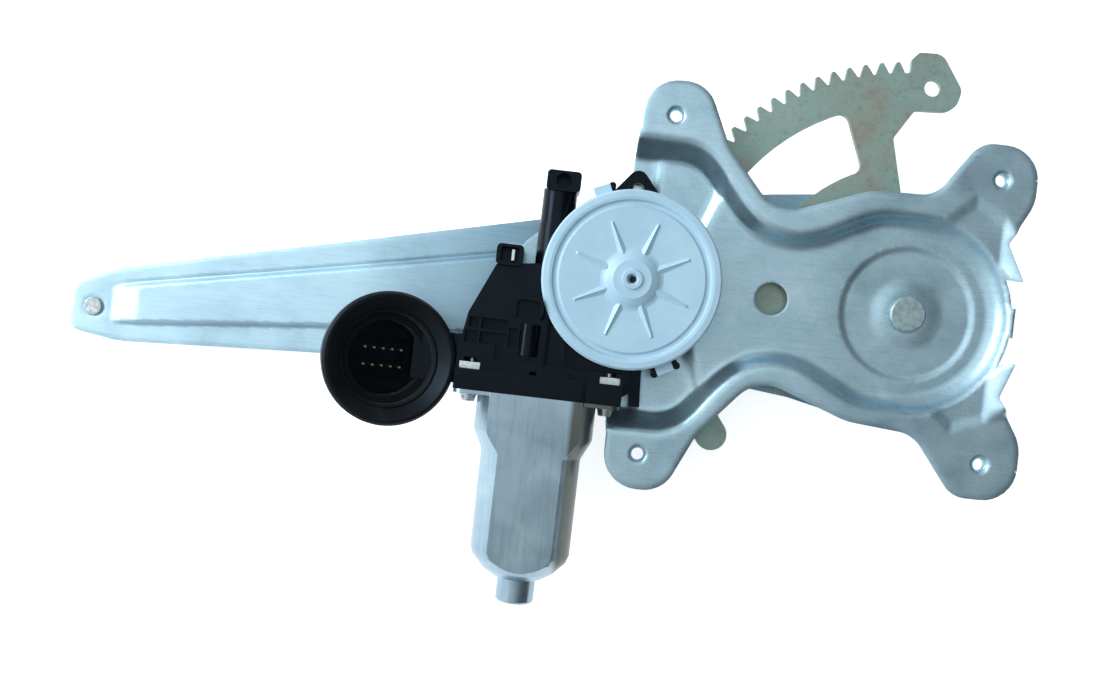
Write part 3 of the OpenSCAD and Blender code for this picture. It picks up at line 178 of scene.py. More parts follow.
def place_piece(name, points, faces, material, body):
    """New smooth mesh from points in millimetres, dressed and riding on a body."""
    mesh = bpy.data.meshes.new(name)
    mesh.from_pydata([Vector(p) * MM for p in points], [], faces)
    mesh.validate()
    mesh.polygons.foreach_set("use_smooth", [True] * len(mesh.polygons))
    mesh.materials.append(material)
    piece = bpy.data.objects.new(name, mesh)
    bpy.context.collection.objects.link(piece)
    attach(piece, body)
    return piece


def turned_piece(name, profile, middle, steps, material, body):
    """Closed profile of (radius, height) turned about a line along Z, in millimetres."""
    points = []
    faces = []
    count = len(profile)
    for i in range(steps):
        turn = 2 * math.pi * i / steps
        for radius, height in profile:
            x = middle[0] + radius * math.cos(turn)
            y = middle[1] + radius * math.sin(turn)
            points.append((x, y, height))
        ahead = (i + 1) % steps
        for j in range(count):
            k = (j + 1) % count
            faces.append((i * count + j, ahead * count + j, ahead * count + k, i * count + k))
    place_piece(name, points, faces, material, body)


# The net of a pressed sheet, in shares of its spacing: the gap between its rows, which makes even
# triangles, and how far its points stay from the edges that are laid in first
row_gap = 0.866
clear_of_edges = 0.6
# Places in the net that are nearer to each other than this are one, in millimetres
same_place = 1e-5
# Faces of the CAD node that look up at least this much are its top
least_up = 0.08
# Heights are felt from this high over the ears, in metres
feeler_start = 0.2
# The sheet's own edges are broken by this much, in millimetres, where they turn by this angle
sheet_edge = 0.3
sheet_edge_angle = 55


def top_edges(mesh):
    """Edges, in millimetres, between the faces of a mesh that look up and the rest."""
    owners = {}
    for face in mesh.polygons:
        up = face.normal.z > least_up
        corners = [tuple(round(c / MM, 3) for c in mesh.vertices[i].co) for i in face.vertices]
        for a, b in zip(corners, corners[1:] + corners[:1]):
            owners.setdefault((min(a, b), max(a, b)), []).append(up)
    return [edge for edge, sides in owners.items() if any(sides) and not all(sides)]


def pressed_sheet(name, node, thick, spacing, passes, material, body, reshape, creases):
    """Sheet pressed over a CAD node: its outline and holes are kept, and its bends are rounded.

    The net is laid along the outline, the holes and the creases, and then filled with even points.
    Each pass moves every height half way to the mean of those round it, and reshape has the last
    word, with the place, the height there and the distance from the nearest cut edge.
    """
    mesh = cad[node].data
    corners = [tuple(face.vertices) for face in mesh.polygons]
    solid = BVHTree.FromPolygons([v.co for v in mesh.vertices], corners)

    def height(x, y):
        """Top of the CAD node at a place in millimetres, or None beside it."""
        found = solid.ray_cast(Vector((x * MM, y * MM, feeler_start)), Vector((0, 0, -1)))
        return found[0].z / MM if found[0] else None

    flat = []
    tops = []
    edges = []
    known = {}

    def number(point):
        """Index of an edge point, which is added once."""
        key = (round(point[0], 3), round(point[1], 3))
        if key not in known:
            known[key] = len(flat)
            flat.append(Vector(key))
            tops.append(point[2])
        return known[key]

    def lay(a, b):
        """Splits one edge and lays it into the sheet's net."""
        parts = max(1, math.ceil((b - a).length / spacing))
        row = [number(a.lerp(b, i / parts)) for i in range(parts + 1)]
        edges.extend((i, j) for i, j in zip(row, row[1:]) if i != j)

    for a, b in top_edges(mesh):
        lay(Vector(a), Vector(b))
    # Only the outline and the holes are laid so far, and they are where the sheet is cut
    rim = KDTree(len(flat))
    for i, point in enumerate(flat):
        rim.insert((point.x, point.y, 0), i)
    rim.balance()
    for crease in creases:
        for a, b in zip(crease, crease[1:]):
            lay(Vector((*a, height(*a))), Vector((*b, height(*b))))
    # The even points keep clear of the creases as well
    near = KDTree(len(flat))
    for i, point in enumerate(flat):
        near.insert((point.x, point.y, 0), i)
    near.balance()
    low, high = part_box(node)
    rows = math.ceil((high[1] - low[1]) / MM / spacing / row_gap)
    columns = math.ceil((high[0] - low[0]) / MM / spacing)
    for j in range(rows + 1):
        y = low[1] / MM + j * spacing * row_gap
        for i in range(columns + 1):
            x = low[0] / MM + (i + 0.5 * (j % 2)) * spacing
            if near.find((x, y, 0))[2] < clear_of_edges * spacing:
                continue
            z = height(x, y)
            if z is not None:
                flat.append(Vector((x, y)))
                tops.append(z)
    places, _, faces, origins, _, _ = delaunay_2d_cdt(flat, edges, [], 0, same_place)
    levels = []
    for place, origin in zip(places, origins):
        if origin:
            levels.append(sum(tops[i] for i in origin) / len(origin))
        else:
            levels.append(height(place.x, place.y) or 0.0)
    kept = []
    around = [set() for _ in places]
    for face in faces:
        centre = (places[face[0]] + places[face[1]] + places[face[2]]) / 3
        if height(centre.x, centre.y) is None:
            continue
        kept.append(face)
        for i in face:
            around[i].update(face)
    for _ in range(passes):
        means = [sum(levels[i] for i in ring) / len(ring) if ring else 0.0 for ring in around]
        levels = [z + 0.5 * (mean - z) for z, mean in zip(levels, means)]
    cuts = [rim.find((p.x, p.y, 0))[2] for p in places]
    levels = [reshape(p.x, p.y, z, cut) for p, z, cut in zip(places, levels, cuts)]
    used = sorted({i for face in kept for i in face})
    renumber = {old: new for new, old in enumerate(used)}
    points = [(places[i].x, places[i].y, levels[i]) for i in used]
    faces = [tuple(renumber[i] for i in face) for face in kept]
    piece = place_piece(name, points, faces, material, body)
    back = piece.modifiers.new("sheet thickness", "SOLIDIFY")
    back.thickness = thick * MM
    back.offset = -1.0
    edge = piece.modifiers.new("broken edge", "BEVEL")
    edge.width = sheet_edge * MM
    edge.segments = 2
    edge.limit_method = "ANGLE"
    edge.angle_limit = math.radians(sheet_edge_angle)
    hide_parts(node)


plate_thick = 1.6
plate_spacing = 1.0
plate_passes = 10
# The ear holes are extruded collars, so the sheet rolls down into each of them
ear_holes = [(0.0, 0.0), (0.0, -141.4), (137.3, -11.3), (141.4, -129.6)]
hole_r = 2.55
roll_r = 1.5
roll_reach = 6.0
collar_r = 4.0
collar_top = -1.4
collar_root = -1.5
collar_end = -4.6
collar_chamfer = 0.2
collar_steps = 48
# Two panels beside the bowl are let down behind a crease and a step, and their free edges curl
# up. Their places are measured from the pivot, and they start clear of the bowl's middle line.
pivot = (106.3, -70.7)
upper_crease = ((6.3, 39.7), (21.1, 53.3), (41.1, 41.7))
lower_crease = ((9.6, -39.3), (20.5, -48.5), (42.4, -39.7))
panel_creases = [(1, upper_crease), (-1, lower_crease)]
panel_clear = 8.0
panel_drop = 0.9
crease_w = 6.0
curl_x = 34.0
curl = 0.58
# The sheet is flat above the first of these levels, and its edges are rolled above the second
flat_z = -0.2
rolled_z = -1.0
edge_roll = 0.45
edge_roll_w = 2.4
# Rows of the dish, each a distance from the pivot with the height there over the pan's floor, and
# the rings that the net follows down its rim and round the rivet's seat
pan_z = -7.0
dish_r = 28.8
dish_foot_r = 26.2
seat_r = 8.4
dish_rows = [(dish_r, 0.0), (dish_foot_r, -0.9), (16.0, -1.0), (seat_r, -0.2), (0.0, -0.2)]
ring_radii = (dish_r, 27.9, 27.0, dish_foot_r, seat_r)
ring_step = 4
# The bowl's wall meets the floor in a fillet, which runs out to the left and at the wall
foot_r = 8.0
foot_start = 32.2
foot_end = 39.5
foot_ease = 1.5
foot_left = -8.0
foot_fade = 16.0
# The sector's teeth pass close under the low strip, so the sheet stays above them there
teeth_clear_r = 113.0
teeth_clear_z = -10.4


def ease(share):
    """Share from 0 to 1 that starts and ends gently."""
    return share * share * (3 - 2 * share)


def dish_profile(r):
    """Height over the pan's floor at this distance from the pivot, eased from row to row."""
    for (outer, high), (inner, low) in zip(dish_rows, dish_rows[1:]):
        if r >= inner:
            share = (outer - r) / (outer - inner)
            return high + (low - high) * ease(share)
    return dish_rows[-1][1]


def side_of(a, b, u, v):
    """How far a place lies to the right of the line from a to b."""
    along = (b[0] - a[0], b[1] - a[1])
    return ((u - a[0]) * along[1] - (v - a[1]) * along[0]) / math.hypot(*along)


def plate_relief(x, y, z, cut):
    """Height of the sheet with its collars, dish, fillet, let-down panels and rolled edges."""
    away = min(math.hypot(x - a, y - b) for a, b in ear_holes)
    if away < roll_reach:
        into = max(0.0, hole_r + roll_r - away)
        return z - roll_r + math.sqrt(max(0.0, roll_r ** 2 - into ** 2))
    u, v = x - pivot[0], y - pivot[1]
    r = math.hypot(u, v)
    if r < teeth_clear_r:
        z = max(z, teeth_clear_z)
    if r < dish_r:
        return pan_z + dish_profile(r)
    if u > foot_left and foot_start < r < foot_end:
        foot = pan_z + foot_r - math.sqrt(foot_r ** 2 - (r - foot_start) ** 2)
        share = min(1.0, (u - foot_left) / foot_fade) * min(1.0, (foot_end - r) / foot_ease)
        z += share * max(0.0, foot - z)
    for side, (start, bend, end) in panel_creases:
        inside = min(side * side_of(start, bend, u, v), side * side_of(bend, end, u, v))
        if inside > 0 and v * side > panel_clear:
            level = ease(min(1.0, inside / crease_w)) * (curl * max(0.0, u - curl_x) - panel_drop)
            if z > level or z > flat_z:
                z = level
    if z > rolled_z:
        z -= edge_roll * max(0.0, 1 - cut / edge_roll_w) ** 2
    return z


rings = []
turns = [math.radians(degrees) for degrees in range(0, 361, ring_step)]
for r in ring_radii:
    rings.append([(pivot[0] + r * math.cos(t), pivot[1] + r * math.sin(t)) for t in turns])
pressed_sheet("plate_sheet", "base_plate", plate_thick, plate_spacing, plate_passes,
              zinc_plate, "base", plate_relief, rings)
collar = [(hole_r, collar_top), (hole_r, collar_end), (collar_r - collar_chamfer, collar_end)]
collar += [(collar_r, collar_end + collar_chamfer), (collar_r, collar_root)]
for i, hole in enumerate(ear_holes):
    name = "ear_collar_%d" % (i + 1)
    turned_piece(name, collar, hole, collar_steps, zinc_plate, "base")


# Pivot
# A shouldered steel rivet carries the arm. Its head is peened flat in the middle of the dish,
# and a hard washer keeps the sector off the plate.

# Passivated rivet steel: greyer than the sheet, with the dull dimples of the peening tool.
rivet_steel, tree, shader = start_material("peened rivet steel", 0.46, 0.6)
place = add(tree, "ShaderNodeTexCoord").outputs["Object"]
settings = {"Scale": grain(2.4), "Detail": 4.0, "Roughness": 0.65}
dimple = add(tree, "ShaderNodeTexNoise", settings, {"Vector": place}).outputs["Fac"]
stops = [(0.32, "#88a2a8"), (0.5, "#9eb9be"), (0.68, "#b0c8cc")]
tone = add(tree, "ShaderNodeValToRGB", {"stops": stops}, {"Fac": dimple}).outputs["Color"]
tree.links.new(tone, shader.inputs["Base Color"])
settings = {**middle_of_noise, "To Min": 0.42, "To Max": 0.58}
gloss = add(tree, "ShaderNodeMapRange", settings, {"Value": dimple}).outputs["Result"]
tree.links.new(gloss, shader.inputs["Roughness"])
relief = add(tree, "ShaderNodeBump", {"Strength": 0.4, "Distance": 0.35 * MM}, {"Height": dimple})
tree.links.new(relief.outputs["Normal"], shader.inputs["Normal"])

dress("pivot_rivet", rivet_steel, 0.3)
dress("pivot_washer", rivet_steel)


# Sector gear
# A fine-blanked steel sector with its teeth, a lightening window and a lobe. It is passivated
# with a trace of yellow, which shows as a green-grey film with warmer patches.

# Yellow-green chromate over zinc: duller than the plate, with an iridescent blotch and scuffs.
chromate, tree, shader = start_material("chromated blanked steel", 0.45, 0.5)
place = add(tree, "ShaderNodeTexCoord").outputs["Object"]
settings = {"Scale": grain(34), "Detail": 4.0, "Roughness": 0.55, "Distortion": 0.6}
tint_layer = add(tree, "ShaderNodeTexNoise", settings, {"Vector": place}).outputs["Fac"]
settings = {"Scale": grain(2.2), "Detail": 6.0, "Roughness": 0.7}
scuff = add(tree, "ShaderNodeTexNoise", settings, {"Vector": place}).outputs["Fac"]
stops = [(0.28, "#98948a"), (0.42, "#97a49c"), (0.54, "#92b0ab"), (0.66, "#9db3ac"), (0.78, "#a9a498")]
tone = add(tree, "ShaderNodeValToRGB", {"stops": stops}, {"Fac": tint_layer}).outputs["Color"]
stops = [(0.34, "#c2c6c3"), (0.5, "#ffffff"), (0.7, "#ffffff")]
marks = add(tree, "ShaderNodeValToRGB", {"stops": stops}, {"Fac": scuff}).outputs["Color"]
tone = add(tree, "ShaderNodeMix", {**tint, "Factor": 0.5}, {under: tone, over: marks}).outputs[mixed]
tree.links.new(tone, shader.inputs["Base Color"])
settings = {**middle_of_noise, "To Min": 0.4, "To Max": 0.56}
gloss = add(tree, "ShaderNodeMapRange", settings, {"Value": scuff}).outputs["Result"]
tree.links.new(gloss, shader.inputs["Roughness"])
relief = add(tree, "ShaderNodeBump", {"Strength": 0.25, "Distance": 0.1 * MM}, {"Height": scuff})
tree.links.new(relief.outputs["Normal"], shader.inputs["Normal"])

dress("sector_gear", chromate, 0.25)


# Lift arm
# A long pressed steel arm with a raised panel down its middle, riveted to the sector. It is
# zinc plated like the plate and carries the roller's stud at its tip.

# The same zinc on flatter stock: paler, with long rolling marks and water stains, and greyer with
# painted shade towards the motor.
zinc_arm, tree, shader = start_material("zinc plated steel strip", 0.42, 0.65)
place = add(tree, "ShaderNodeTexCoord").outputs["Object"]
settings = {"Scale": grain(30), "Detail": 6.0, "Roughness": 0.62, "Distortion": 0.4}
cloud = add(tree, "ShaderNodeTexNoise", settings, {"Vector": place}).outputs["Fac"]
settings = {"Rotation": (0, 0, -0.1), "Scale": (1.0, 18.0, 1.0)}
turned = add(tree, "ShaderNodeMapping", settings, {"Vector": place})
settings = {"Scale": grain(16), "Detail": 6.0, "Roughness": 0.7}
rolled = add(tree, "ShaderNodeTexNoise", settings, {"Vector": turned.outputs["Vector"]}).outputs["Fac"]
stops = [(0.3, "#acd0e2"), (0.48, "#b9def1"), (0.62, "#bfe3f4"), (0.75, "#c9e9f6")]
tone = add(tree, "ShaderNodeValToRGB", {"stops": stops}, {"Fac": cloud}).outputs["Color"]
stops = [(0.34, "#d6dde0"), (0.52, "#ffffff"), (0.7, "#ffffff")]
lines = add(tree, "ShaderNodeValToRGB", {"stops": stops}, {"Fac": rolled}).outputs["Color"]
across = add(tree, "ShaderNodeSeparateXYZ", {}, {"Vector": place}).outputs["X"]
# Painted shade: the arm darkens from the first place to full at the second, towards the motor
shade_start = -130.0
shade_full = -70.0
settings = {"From Min": shade_start * MM, "From Max": shade_full * MM}
near_motor = add(tree, "ShaderNodeMapRange", settings, {"Value": across}).outputs["Result"]
stops = [(0.0, "#ffffff"), (1.0, "#b9c4ca")]
painted_shade = add(tree, "ShaderNodeValToRGB", {"stops": stops}, {"Fac": near_motor}).outputs["Color"]
tone = add(tree, "ShaderNodeMix", {**tint, "Factor": 0.4}, {under: tone, over: lines}).outputs[mixed]
tone = add(tree, "ShaderNodeMix", {**tint, "Factor": 1.0}, {under: tone, over: painted_shade}).outputs[mixed]
tree.links.new(tone, shader.inputs["Base Color"])
settings = {**middle_of_noise, "To Min": 0.36, "To Max": 0.48}
gloss = add(tree, "ShaderNodeMapRange", settings, {"Value": cloud}).outputs["Result"]
tree.links.new(gloss, shader.inputs["Roughness"])
relief = add(tree, "ShaderNodeBump", {"Strength": 0.14, "Distance": 0.12 * MM}, {"Height": rolled})
tree.links.new(relief.outputs["Normal"], shader.inputs["Normal"])

# The panel rises on a long ramp beside the stud and has narrow steps along its sides, with a
# fine groove beside the upper one. Each row is a place along the arm, measured from the pivot,
# with the lower and the upper side of the panel there.
arm_thick = 2.2
arm_spacing = 1.0
arm_passes = 3
arm_top = -22.6
panel_rise = 2.6
panel_rows = [(-340.0, -42.0, -26.9), (-246.0, -32.9, -8.6), (-105.0, -24.2, 19.6)]
ramp_start = -339.0
ramp_end = -327.0
step_w = 1.7
groove_off = 1.5
groove_w = 0.9
groove_d = 0.5
arm_roll = 0.3
arm_roll_w = 1.6
panel_end = -125.0
panel_fade = 20.0


def panel_sides(u):
    """Lower and upper side of the raised panel at a place along the arm."""
    (a, low_a, high_a), (b, low_b, high_b) = panel_rows[:2] if u < panel_rows[1][0] else panel_rows[1:]
    share = (u - a) / (b - a)
    return low_a + (low_b - low_a) * share, high_a + (high_b - high_a) * share


def arm_relief(x, y, z, cut):
    """Height of the arm with its ramp, steps and groove, which fade out towards the sector."""
    u, v = x - pivot[0], y - pivot[1]
    if u > panel_end + panel_fade:
        return z
    low, high = panel_sides(u)
    inside = ease(max(0.0, min(1.0, min(v - low, high - v) / step_w + 0.5)))
    ramp = max(0.0, min(1.0, (u - ramp_start) / (ramp_end - ramp_start)))
    groove = groove_d * max(0.0, 1 - abs(v - high - groove_off) / groove_w)
    level = arm_top + ramp * (panel_rise * inside - groove)
    share = max(0.0, (u - panel_end) / panel_fade)
    return level + (z - level) * share - arm_roll * max(0.0, 1 - cut / arm_roll_w) ** 2


# The net follows four lines along each step and two along the groove
step_mid = 0.3
step_lines = (-step_w / 2, -step_mid, step_mid, step_w / 2)
groove_lines = (groove_off, groove_off + groove_w)
arm_lines = []
for column, offsets in ((1, step_lines), (2, step_lines + groove_lines)):
    for off in offsets:
        arm_lines.append([(row[0] + pivot[0], row[column] + off + pivot[1]) for row in panel_rows])
pressed_sheet("arm_sheet", "lift_arm", arm_thick, arm_spacing, arm_passes,
              zinc_arm, "arm", arm_relief, arm_lines)
dress("arm_rivets", rivet_steel, 0.2)


# Roller and stud
# The steel stud is riveted through the arm's tip, and a plastic roller turns on it in the
# channel that lifts the glass.

# Bright zinc on turned steel: clear and glossy, with fine turning marks.
bright_zinc, tree, shader = start_material("bright zinc plated steel", 0.28, 0.85)
place = add(tree, "ShaderNodeTexCoord").outputs["Object"]
settings = {"Scale": grain(1.6), "Detail": 3.0, "Roughness": 0.6}
turning = add(tree, "ShaderNodeTexNoise", settings, {"Vector": place}).outputs["Fac"]
stops = [(0.34, "#b0c0c6"), (0.66, "#d2dfe3")]
tone = add(tree, "ShaderNodeValToRGB", {"stops": stops}, {"Fac": turning}).outputs["Color"]
tree.links.new(tone, shader.inputs["Base Color"])
settings = {**middle_of_noise, "To Min": 0.22, "To Max": 0.36}
gloss = add(tree, "ShaderNodeMapRange", settings, {"Value": turning}).outputs["Result"]
tree.links.new(gloss, shader.inputs["Roughness"])
relief = add(tree, "ShaderNodeBump", {"Strength": 0.2, "Distance": 0.1 * MM}, {"Height": turning})
tree.links.new(relief.outputs["Normal"], shader.inputs["Normal"])

# Natural acetal: a milky, slightly translucent white that yellows a little in the light.
acetal, tree, shader = start_material("natural acetal", 0.36)
shader.inputs["Subsurface Weight"].default_value = 0.15
shader.inputs["Subsurface Radius"].default_value = (0.002, 0.002, 0.0015)
place = add(tree, "ShaderNodeTexCoord").outputs["Object"]
settings = {"Scale": grain(8), "Detail": 3.0, "Roughness": 0.6}
flow = add(tree, "ShaderNodeTexNoise", settings, {"Vector": place}).outputs["Fac"]
stops = [(0.3, "#d6d0c1"), (0.7, "#e8e3d6")]
tone = add(tree, "ShaderNodeValToRGB", {"stops": stops}, {"Fac": flow}).outputs["Color"]
tree.links.new(tone, shader.inputs["Base Color"])

dress("roller_stud", bright_zinc, 0.25)
dress("roller", acetal, 0.3)


# Gear housing
# A glass-filled plastic moulding: a drum for the worm wheel, a tube for the worm, a side body
# for the leads and a block that the motor bolts to. Three bosses hold it to the plate.

# Black glass-filled polyester: a fine moulded stipple with a soft sheen and faint flow marks.
moulded_black, tree, shader = start_material("glass filled black plastic", 0.3)
shader.inputs["Specular IOR Level"].default_value = 0.2
# The pale blue specular tint is a painted reflection colour: it gives the grey sky's highlights a blue
# cast
shader.inputs["Specular Tint"].default_value = linear("#b4d2f0")
place = add(tree, "ShaderNodeTexCoord").outputs["Object"]
settings = {"Scale": grain(0.7), "Detail": 2.0, "Roughness": 0.6}
stipple = add(tree, "ShaderNodeTexNoise", settings, {"Vector": place}).outputs["Fac"]
settings = {"Scale": grain(14), "Detail": 4.0, "Roughness": 0.6}
flow = add(tree, "ShaderNodeTexNoise", settings, {"Vector": place}).outputs["Fac"]
stops = [(0.3, "#04070a"), (0.7, "#0b1014")]
tone = add(tree, "ShaderNodeValToRGB", {"stops": stops}, {"Fac": flow}).outputs["Color"]
tree.links.new(tone, shader.inputs["Base Color"])
settings = {**middle_of_noise, "To Min": 0.18, "To Max": 0.3}
gloss = add(tree, "ShaderNodeMapRange", settings, {"Value": flow}).outputs["Result"]
tree.links.new(gloss, shader.inputs["Roughness"])
relief = add(tree, "ShaderNodeBump", {"Strength": 0.2, "Distance": 0.06 * MM}, {"Height": stipple})
tree.links.new(relief.outputs["Normal"], shader.inputs["Normal"])

dress("gear_housing", moulded_black, 0.35)


# Output train
# The worm wheel drives the pinion through a rubber cushion and a steel plate, all turning on a
# fixed pin. The pinion is cut from bar and hardened.

# Hobbed gear steel: dark grey with an oil film and fine cutter marks across the teeth.
gear_steel, tree, shader = start_material("hobbed gear steel", 0.34, 0.9)
place = add(tree, "ShaderNodeTexCoord").outputs["Object"]
turned = add(tree, "ShaderNodeMapping", {"Scale": (1.0, 1.0, 12.0)}, {"Vector": place})
settings = {"Scale": grain(3), "Detail": 4.0, "Roughness": 0.6}
cutter = add(tree, "ShaderNodeTexNoise", settings, {"Vector": turned.outputs["Vector"]}).outputs["Fac"]
stops = [(0.35, "#6f787c"), (0.65, "#98a1a5")]
tone = add(tree, "ShaderNodeValToRGB", {"stops": stops}, {"Fac": cutter}).outputs["Color"]
tree.links.new(tone, shader.inputs["Base Color"])
relief = add(tree, "ShaderNodeBump", {"Strength": 0.25, "Distance": 0.1 * MM}, {"Height": cutter})
tree.links.new(relief.outputs["Normal"], shader.inputs["Normal"])

# Moulded nitrile rubber: matt black with a dusty bloom.
rubber, tree, shader = start_material("moulded rubber", 0.5)
shader.inputs["Specular IOR Level"].default_value = 0.24
# The pale blue specular tint is a painted reflection colour: it gives the grey sky's highlights a blue
# cast
shader.inputs["Specular Tint"].default_value = linear("#b4d2f0")
shader.inputs["Sheen Weight"].default_value = 0.08
shader.inputs["Sheen Roughness"].default_value = 0.5
place = add(tree, "ShaderNodeTexCoord").outputs["Object"]
settings = {"Scale": grain(16), "Detail": 5.0, "Roughness": 0.6}
bloom = add(tree, "ShaderNodeTexNoise", settings, {"Vector": place}).outputs["Fac"]
settings = {"Scale": grain(0.9), "Detail": 3.0, "Roughness": 0.6}
skin = add(tree, "ShaderNodeTexNoise", settings, {"Vector": place}).outputs["Fac"]
stops = [(0.35, "#0a0d0f"), (0.6, "#111619"), (0.78, "#1d2428")]
tone = add(tree, "ShaderNodeValToRGB", {"stops": stops}, {"Fac": bloom}).outputs["Color"]
tree.links.new(tone, shader.inputs["Base Color"])
settings = {**middle_of_noise, "To Min": 0.4, "To Max": 0.56}
gloss = add(tree, "ShaderNodeMapRange", settings, {"Value": bloom}).outputs["Result"]
tree.links.new(gloss, shader.inputs["Roughness"])
relief = add(tree, "ShaderNodeBump", {"Strength": 0.2, "Distance": 0.08 * MM}, {"Height": skin})
tree.links.new(relief.outputs["Normal"], shader.inputs["Normal"])

dress("output_pin", bright_zinc, 0.2)
dress("pinion", gear_steel, 0.15)
dress("drive_plate", gear_steel)
dress("damper", rubber)
dress("worm_wheel", acetal)


# Cover
# A round steel pressing closes the drum. It has a rolled rim, a ring groove, eight ribs that
# run out from a domed hub, and two tabs bent out under the rim. A rubber ring seals it.

# Pale blue-grey electrocoat: an even satin paint with a little orange peel and some dust.
cover_paint, tree, shader = start_material("pale electrocoat paint", 0.38)
shader.inputs["Coat Weight"].default_value = 0.15
shader.inputs["Coat Roughness"].default_value = 0.3
place = add(tree, "ShaderNodeTexCoord").outputs["Object"]
settings = {"Scale": grain(1.4), "Detail": 2.0, "Roughness": 0.6}
peel = add(tree, "ShaderNodeTexNoise", settings, {"Vector": place}).outputs["Fac"]
settings = {"Scale": grain(22), "Detail": 5.0, "Roughness": 0.6}
dust = add(tree, "ShaderNodeTexNoise", settings, {"Vector": place}).outputs["Fac"]
stops = [(0.3, "#a5cce2"), (0.55, "#aed7ee"), (0.75, "#b7def2")]
tone = add(tree, "ShaderNodeValToRGB", {"stops": stops}, {"Fac": dust}).outputs["Color"]
tree.links.new(tone, shader.inputs["Base Color"])
settings = {**middle_of_noise, "To Min": 0.33, "To Max": 0.45}
gloss = add(tree, "ShaderNodeMapRange", settings, {"Value": dust}).outputs["Result"]
tree.links.new(gloss, shader.inputs["Roughness"])
relief = add(tree, "ShaderNodeBump", {"Strength": 0.2, "Distance": 0.06 * MM}, {"Height": peel})
tree.links.new(relief.outputs["Normal"], shader.inputs["Normal"])

dress("gear_cover", cover_paint)
# The small hole in the hub shows dark, so a disc of black rubber lies a little way down in it as painted
# shade of the hole's depth
gear_centre = (-11.4, -70.7)
shade_disc_r = 1.25
shade_disc_core_r = 0.05
shade_disc_down = 0.5
shade_disc_end = 1.3
shade_disc_steps = 24
hub_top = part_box("gear_cover")[1][2] / MM
shade_disc = [(shade_disc_core_r, hub_top - shade_disc_down), (shade_disc_r, hub_top - shade_disc_down)]
shade_disc += [(shade_disc_r, hub_top - shade_disc_end), (shade_disc_core_r, hub_top - shade_disc_end)]
turned_piece("hub_hole", shade_disc, gear_centre, shade_disc_steps, rubber, "base")
dress("cover_seal", rubber)


# Motor
# A permanent-magnet motor in a drawn can. Its shaft carries the worm, its rotor is a stack of
# slotted laminations wound with copper, and two carbon brushes feed the commutator.

# Zinc on the drawn can: brighter than the sheet, streaked along the draw and lightly stained,
# with a dull brown painted reflection darkening its right side, beyond the flat.
can_zinc, tree, shader = start_material("zinc plated drawn can", 0.32, 0.85)
place = add(tree, "ShaderNodeTexCoord").outputs["Object"]
turned = add(tree, "ShaderNodeMapping", {"Scale": (14.0, 1.0, 14.0)}, {"Vector": place})
settings = {"Scale": grain(22), "Detail": 6.0, "Roughness": 0.68}
drawn = add(tree, "ShaderNodeTexNoise", settings, {"Vector": turned.outputs["Vector"]}).outputs["Fac"]
settings = {"Scale": grain(18), "Detail": 5.0, "Roughness": 0.5, "Distortion": 0.5}
stain = add(tree, "ShaderNodeTexNoise", settings, {"Vector": place}).outputs["Fac"]
stops = [(0.3, "#8fa8b9"), (0.5, "#9ab5c5"), (0.7, "#a8c3d1")]
tone = add(tree, "ShaderNodeValToRGB", {"stops": stops}, {"Fac": stain}).outputs["Color"]
stops = [(0.34, "#c6cdd0"), (0.52, "#ffffff"), (0.7, "#ffffff")]
lines = add(tree, "ShaderNodeValToRGB", {"stops": stops}, {"Fac": drawn}).outputs["Color"]
across = add(tree, "ShaderNodeSeparateXYZ", {}, {"Vector": place}).outputs["X"]
# Painted reflection: beyond this distance right of the shaft the can turns a dull brown
painted_reflection_off = 13.4
painted_reflection_w = 2.0
shaft_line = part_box("rear_bearing")
painted_reflection_x = (shaft_line[0][0] + shaft_line[1][0]) / 2 + painted_reflection_off * MM
settings = {"From Min": painted_reflection_x, "From Max": painted_reflection_x + painted_reflection_w * MM}
side = add(tree, "ShaderNodeMapRange", settings, {"Value": across}).outputs["Result"]
stops = [(0.0, "#ffffff"), (1.0, "#9c9083")]
tint_layer = add(tree, "ShaderNodeValToRGB", {"stops": stops}, {"Fac": side}).outputs["Color"]
tone = add(tree, "ShaderNodeMix", {**tint, "Factor": 0.35}, {under: tone, over: lines}).outputs[mixed]
tone = add(tree, "ShaderNodeMix", {**tint, "Factor": 1.0}, {under: tone, over: tint_layer}).outputs[mixed]
tree.links.new(tone, shader.inputs["Base Color"])
settings = {**middle_of_noise, "To Min": 0.26, "To Max": 0.38}
gloss = add(tree, "ShaderNodeMapRange", settings, {"Value": stain}).outputs["Result"]
tree.links.new(gloss, shader.inputs["Roughness"])
relief = add(tree, "ShaderNodeBump", {"Strength": 0.1, "Distance": 0.1 * MM}, {"Height": drawn})
tree.links.new(relief.outputs["Normal"], shader.inputs["Normal"])


def layers(size_mm):
    """Wave scale for layers this thick, drawn six or seven times as coarse so that they show."""
    return 1000.0 / (20 * size_mm)


# Stacked electrical steel: dark sheets 0.5 mm thick, drawn as coarser lines round the core.
lamination, tree, shader = start_material("stacked electrical steel", 0.4, 0.85)
place = add(tree, "ShaderNodeTexCoord").outputs["Object"]
settings = {"bands_direction": "Y", "Scale": layers(0.5), "Distortion": 0.4}
sheets = add(tree, "ShaderNodeTexWave", settings, {"Vector": place}).outputs["Fac"]
stops = [(0.25, "#4c5357"), (0.75, "#7d868b")]
tone = add(tree, "ShaderNodeValToRGB", {"stops": stops}, {"Fac": sheets}).outputs["Color"]
tree.links.new(tone, shader.inputs["Base Color"])

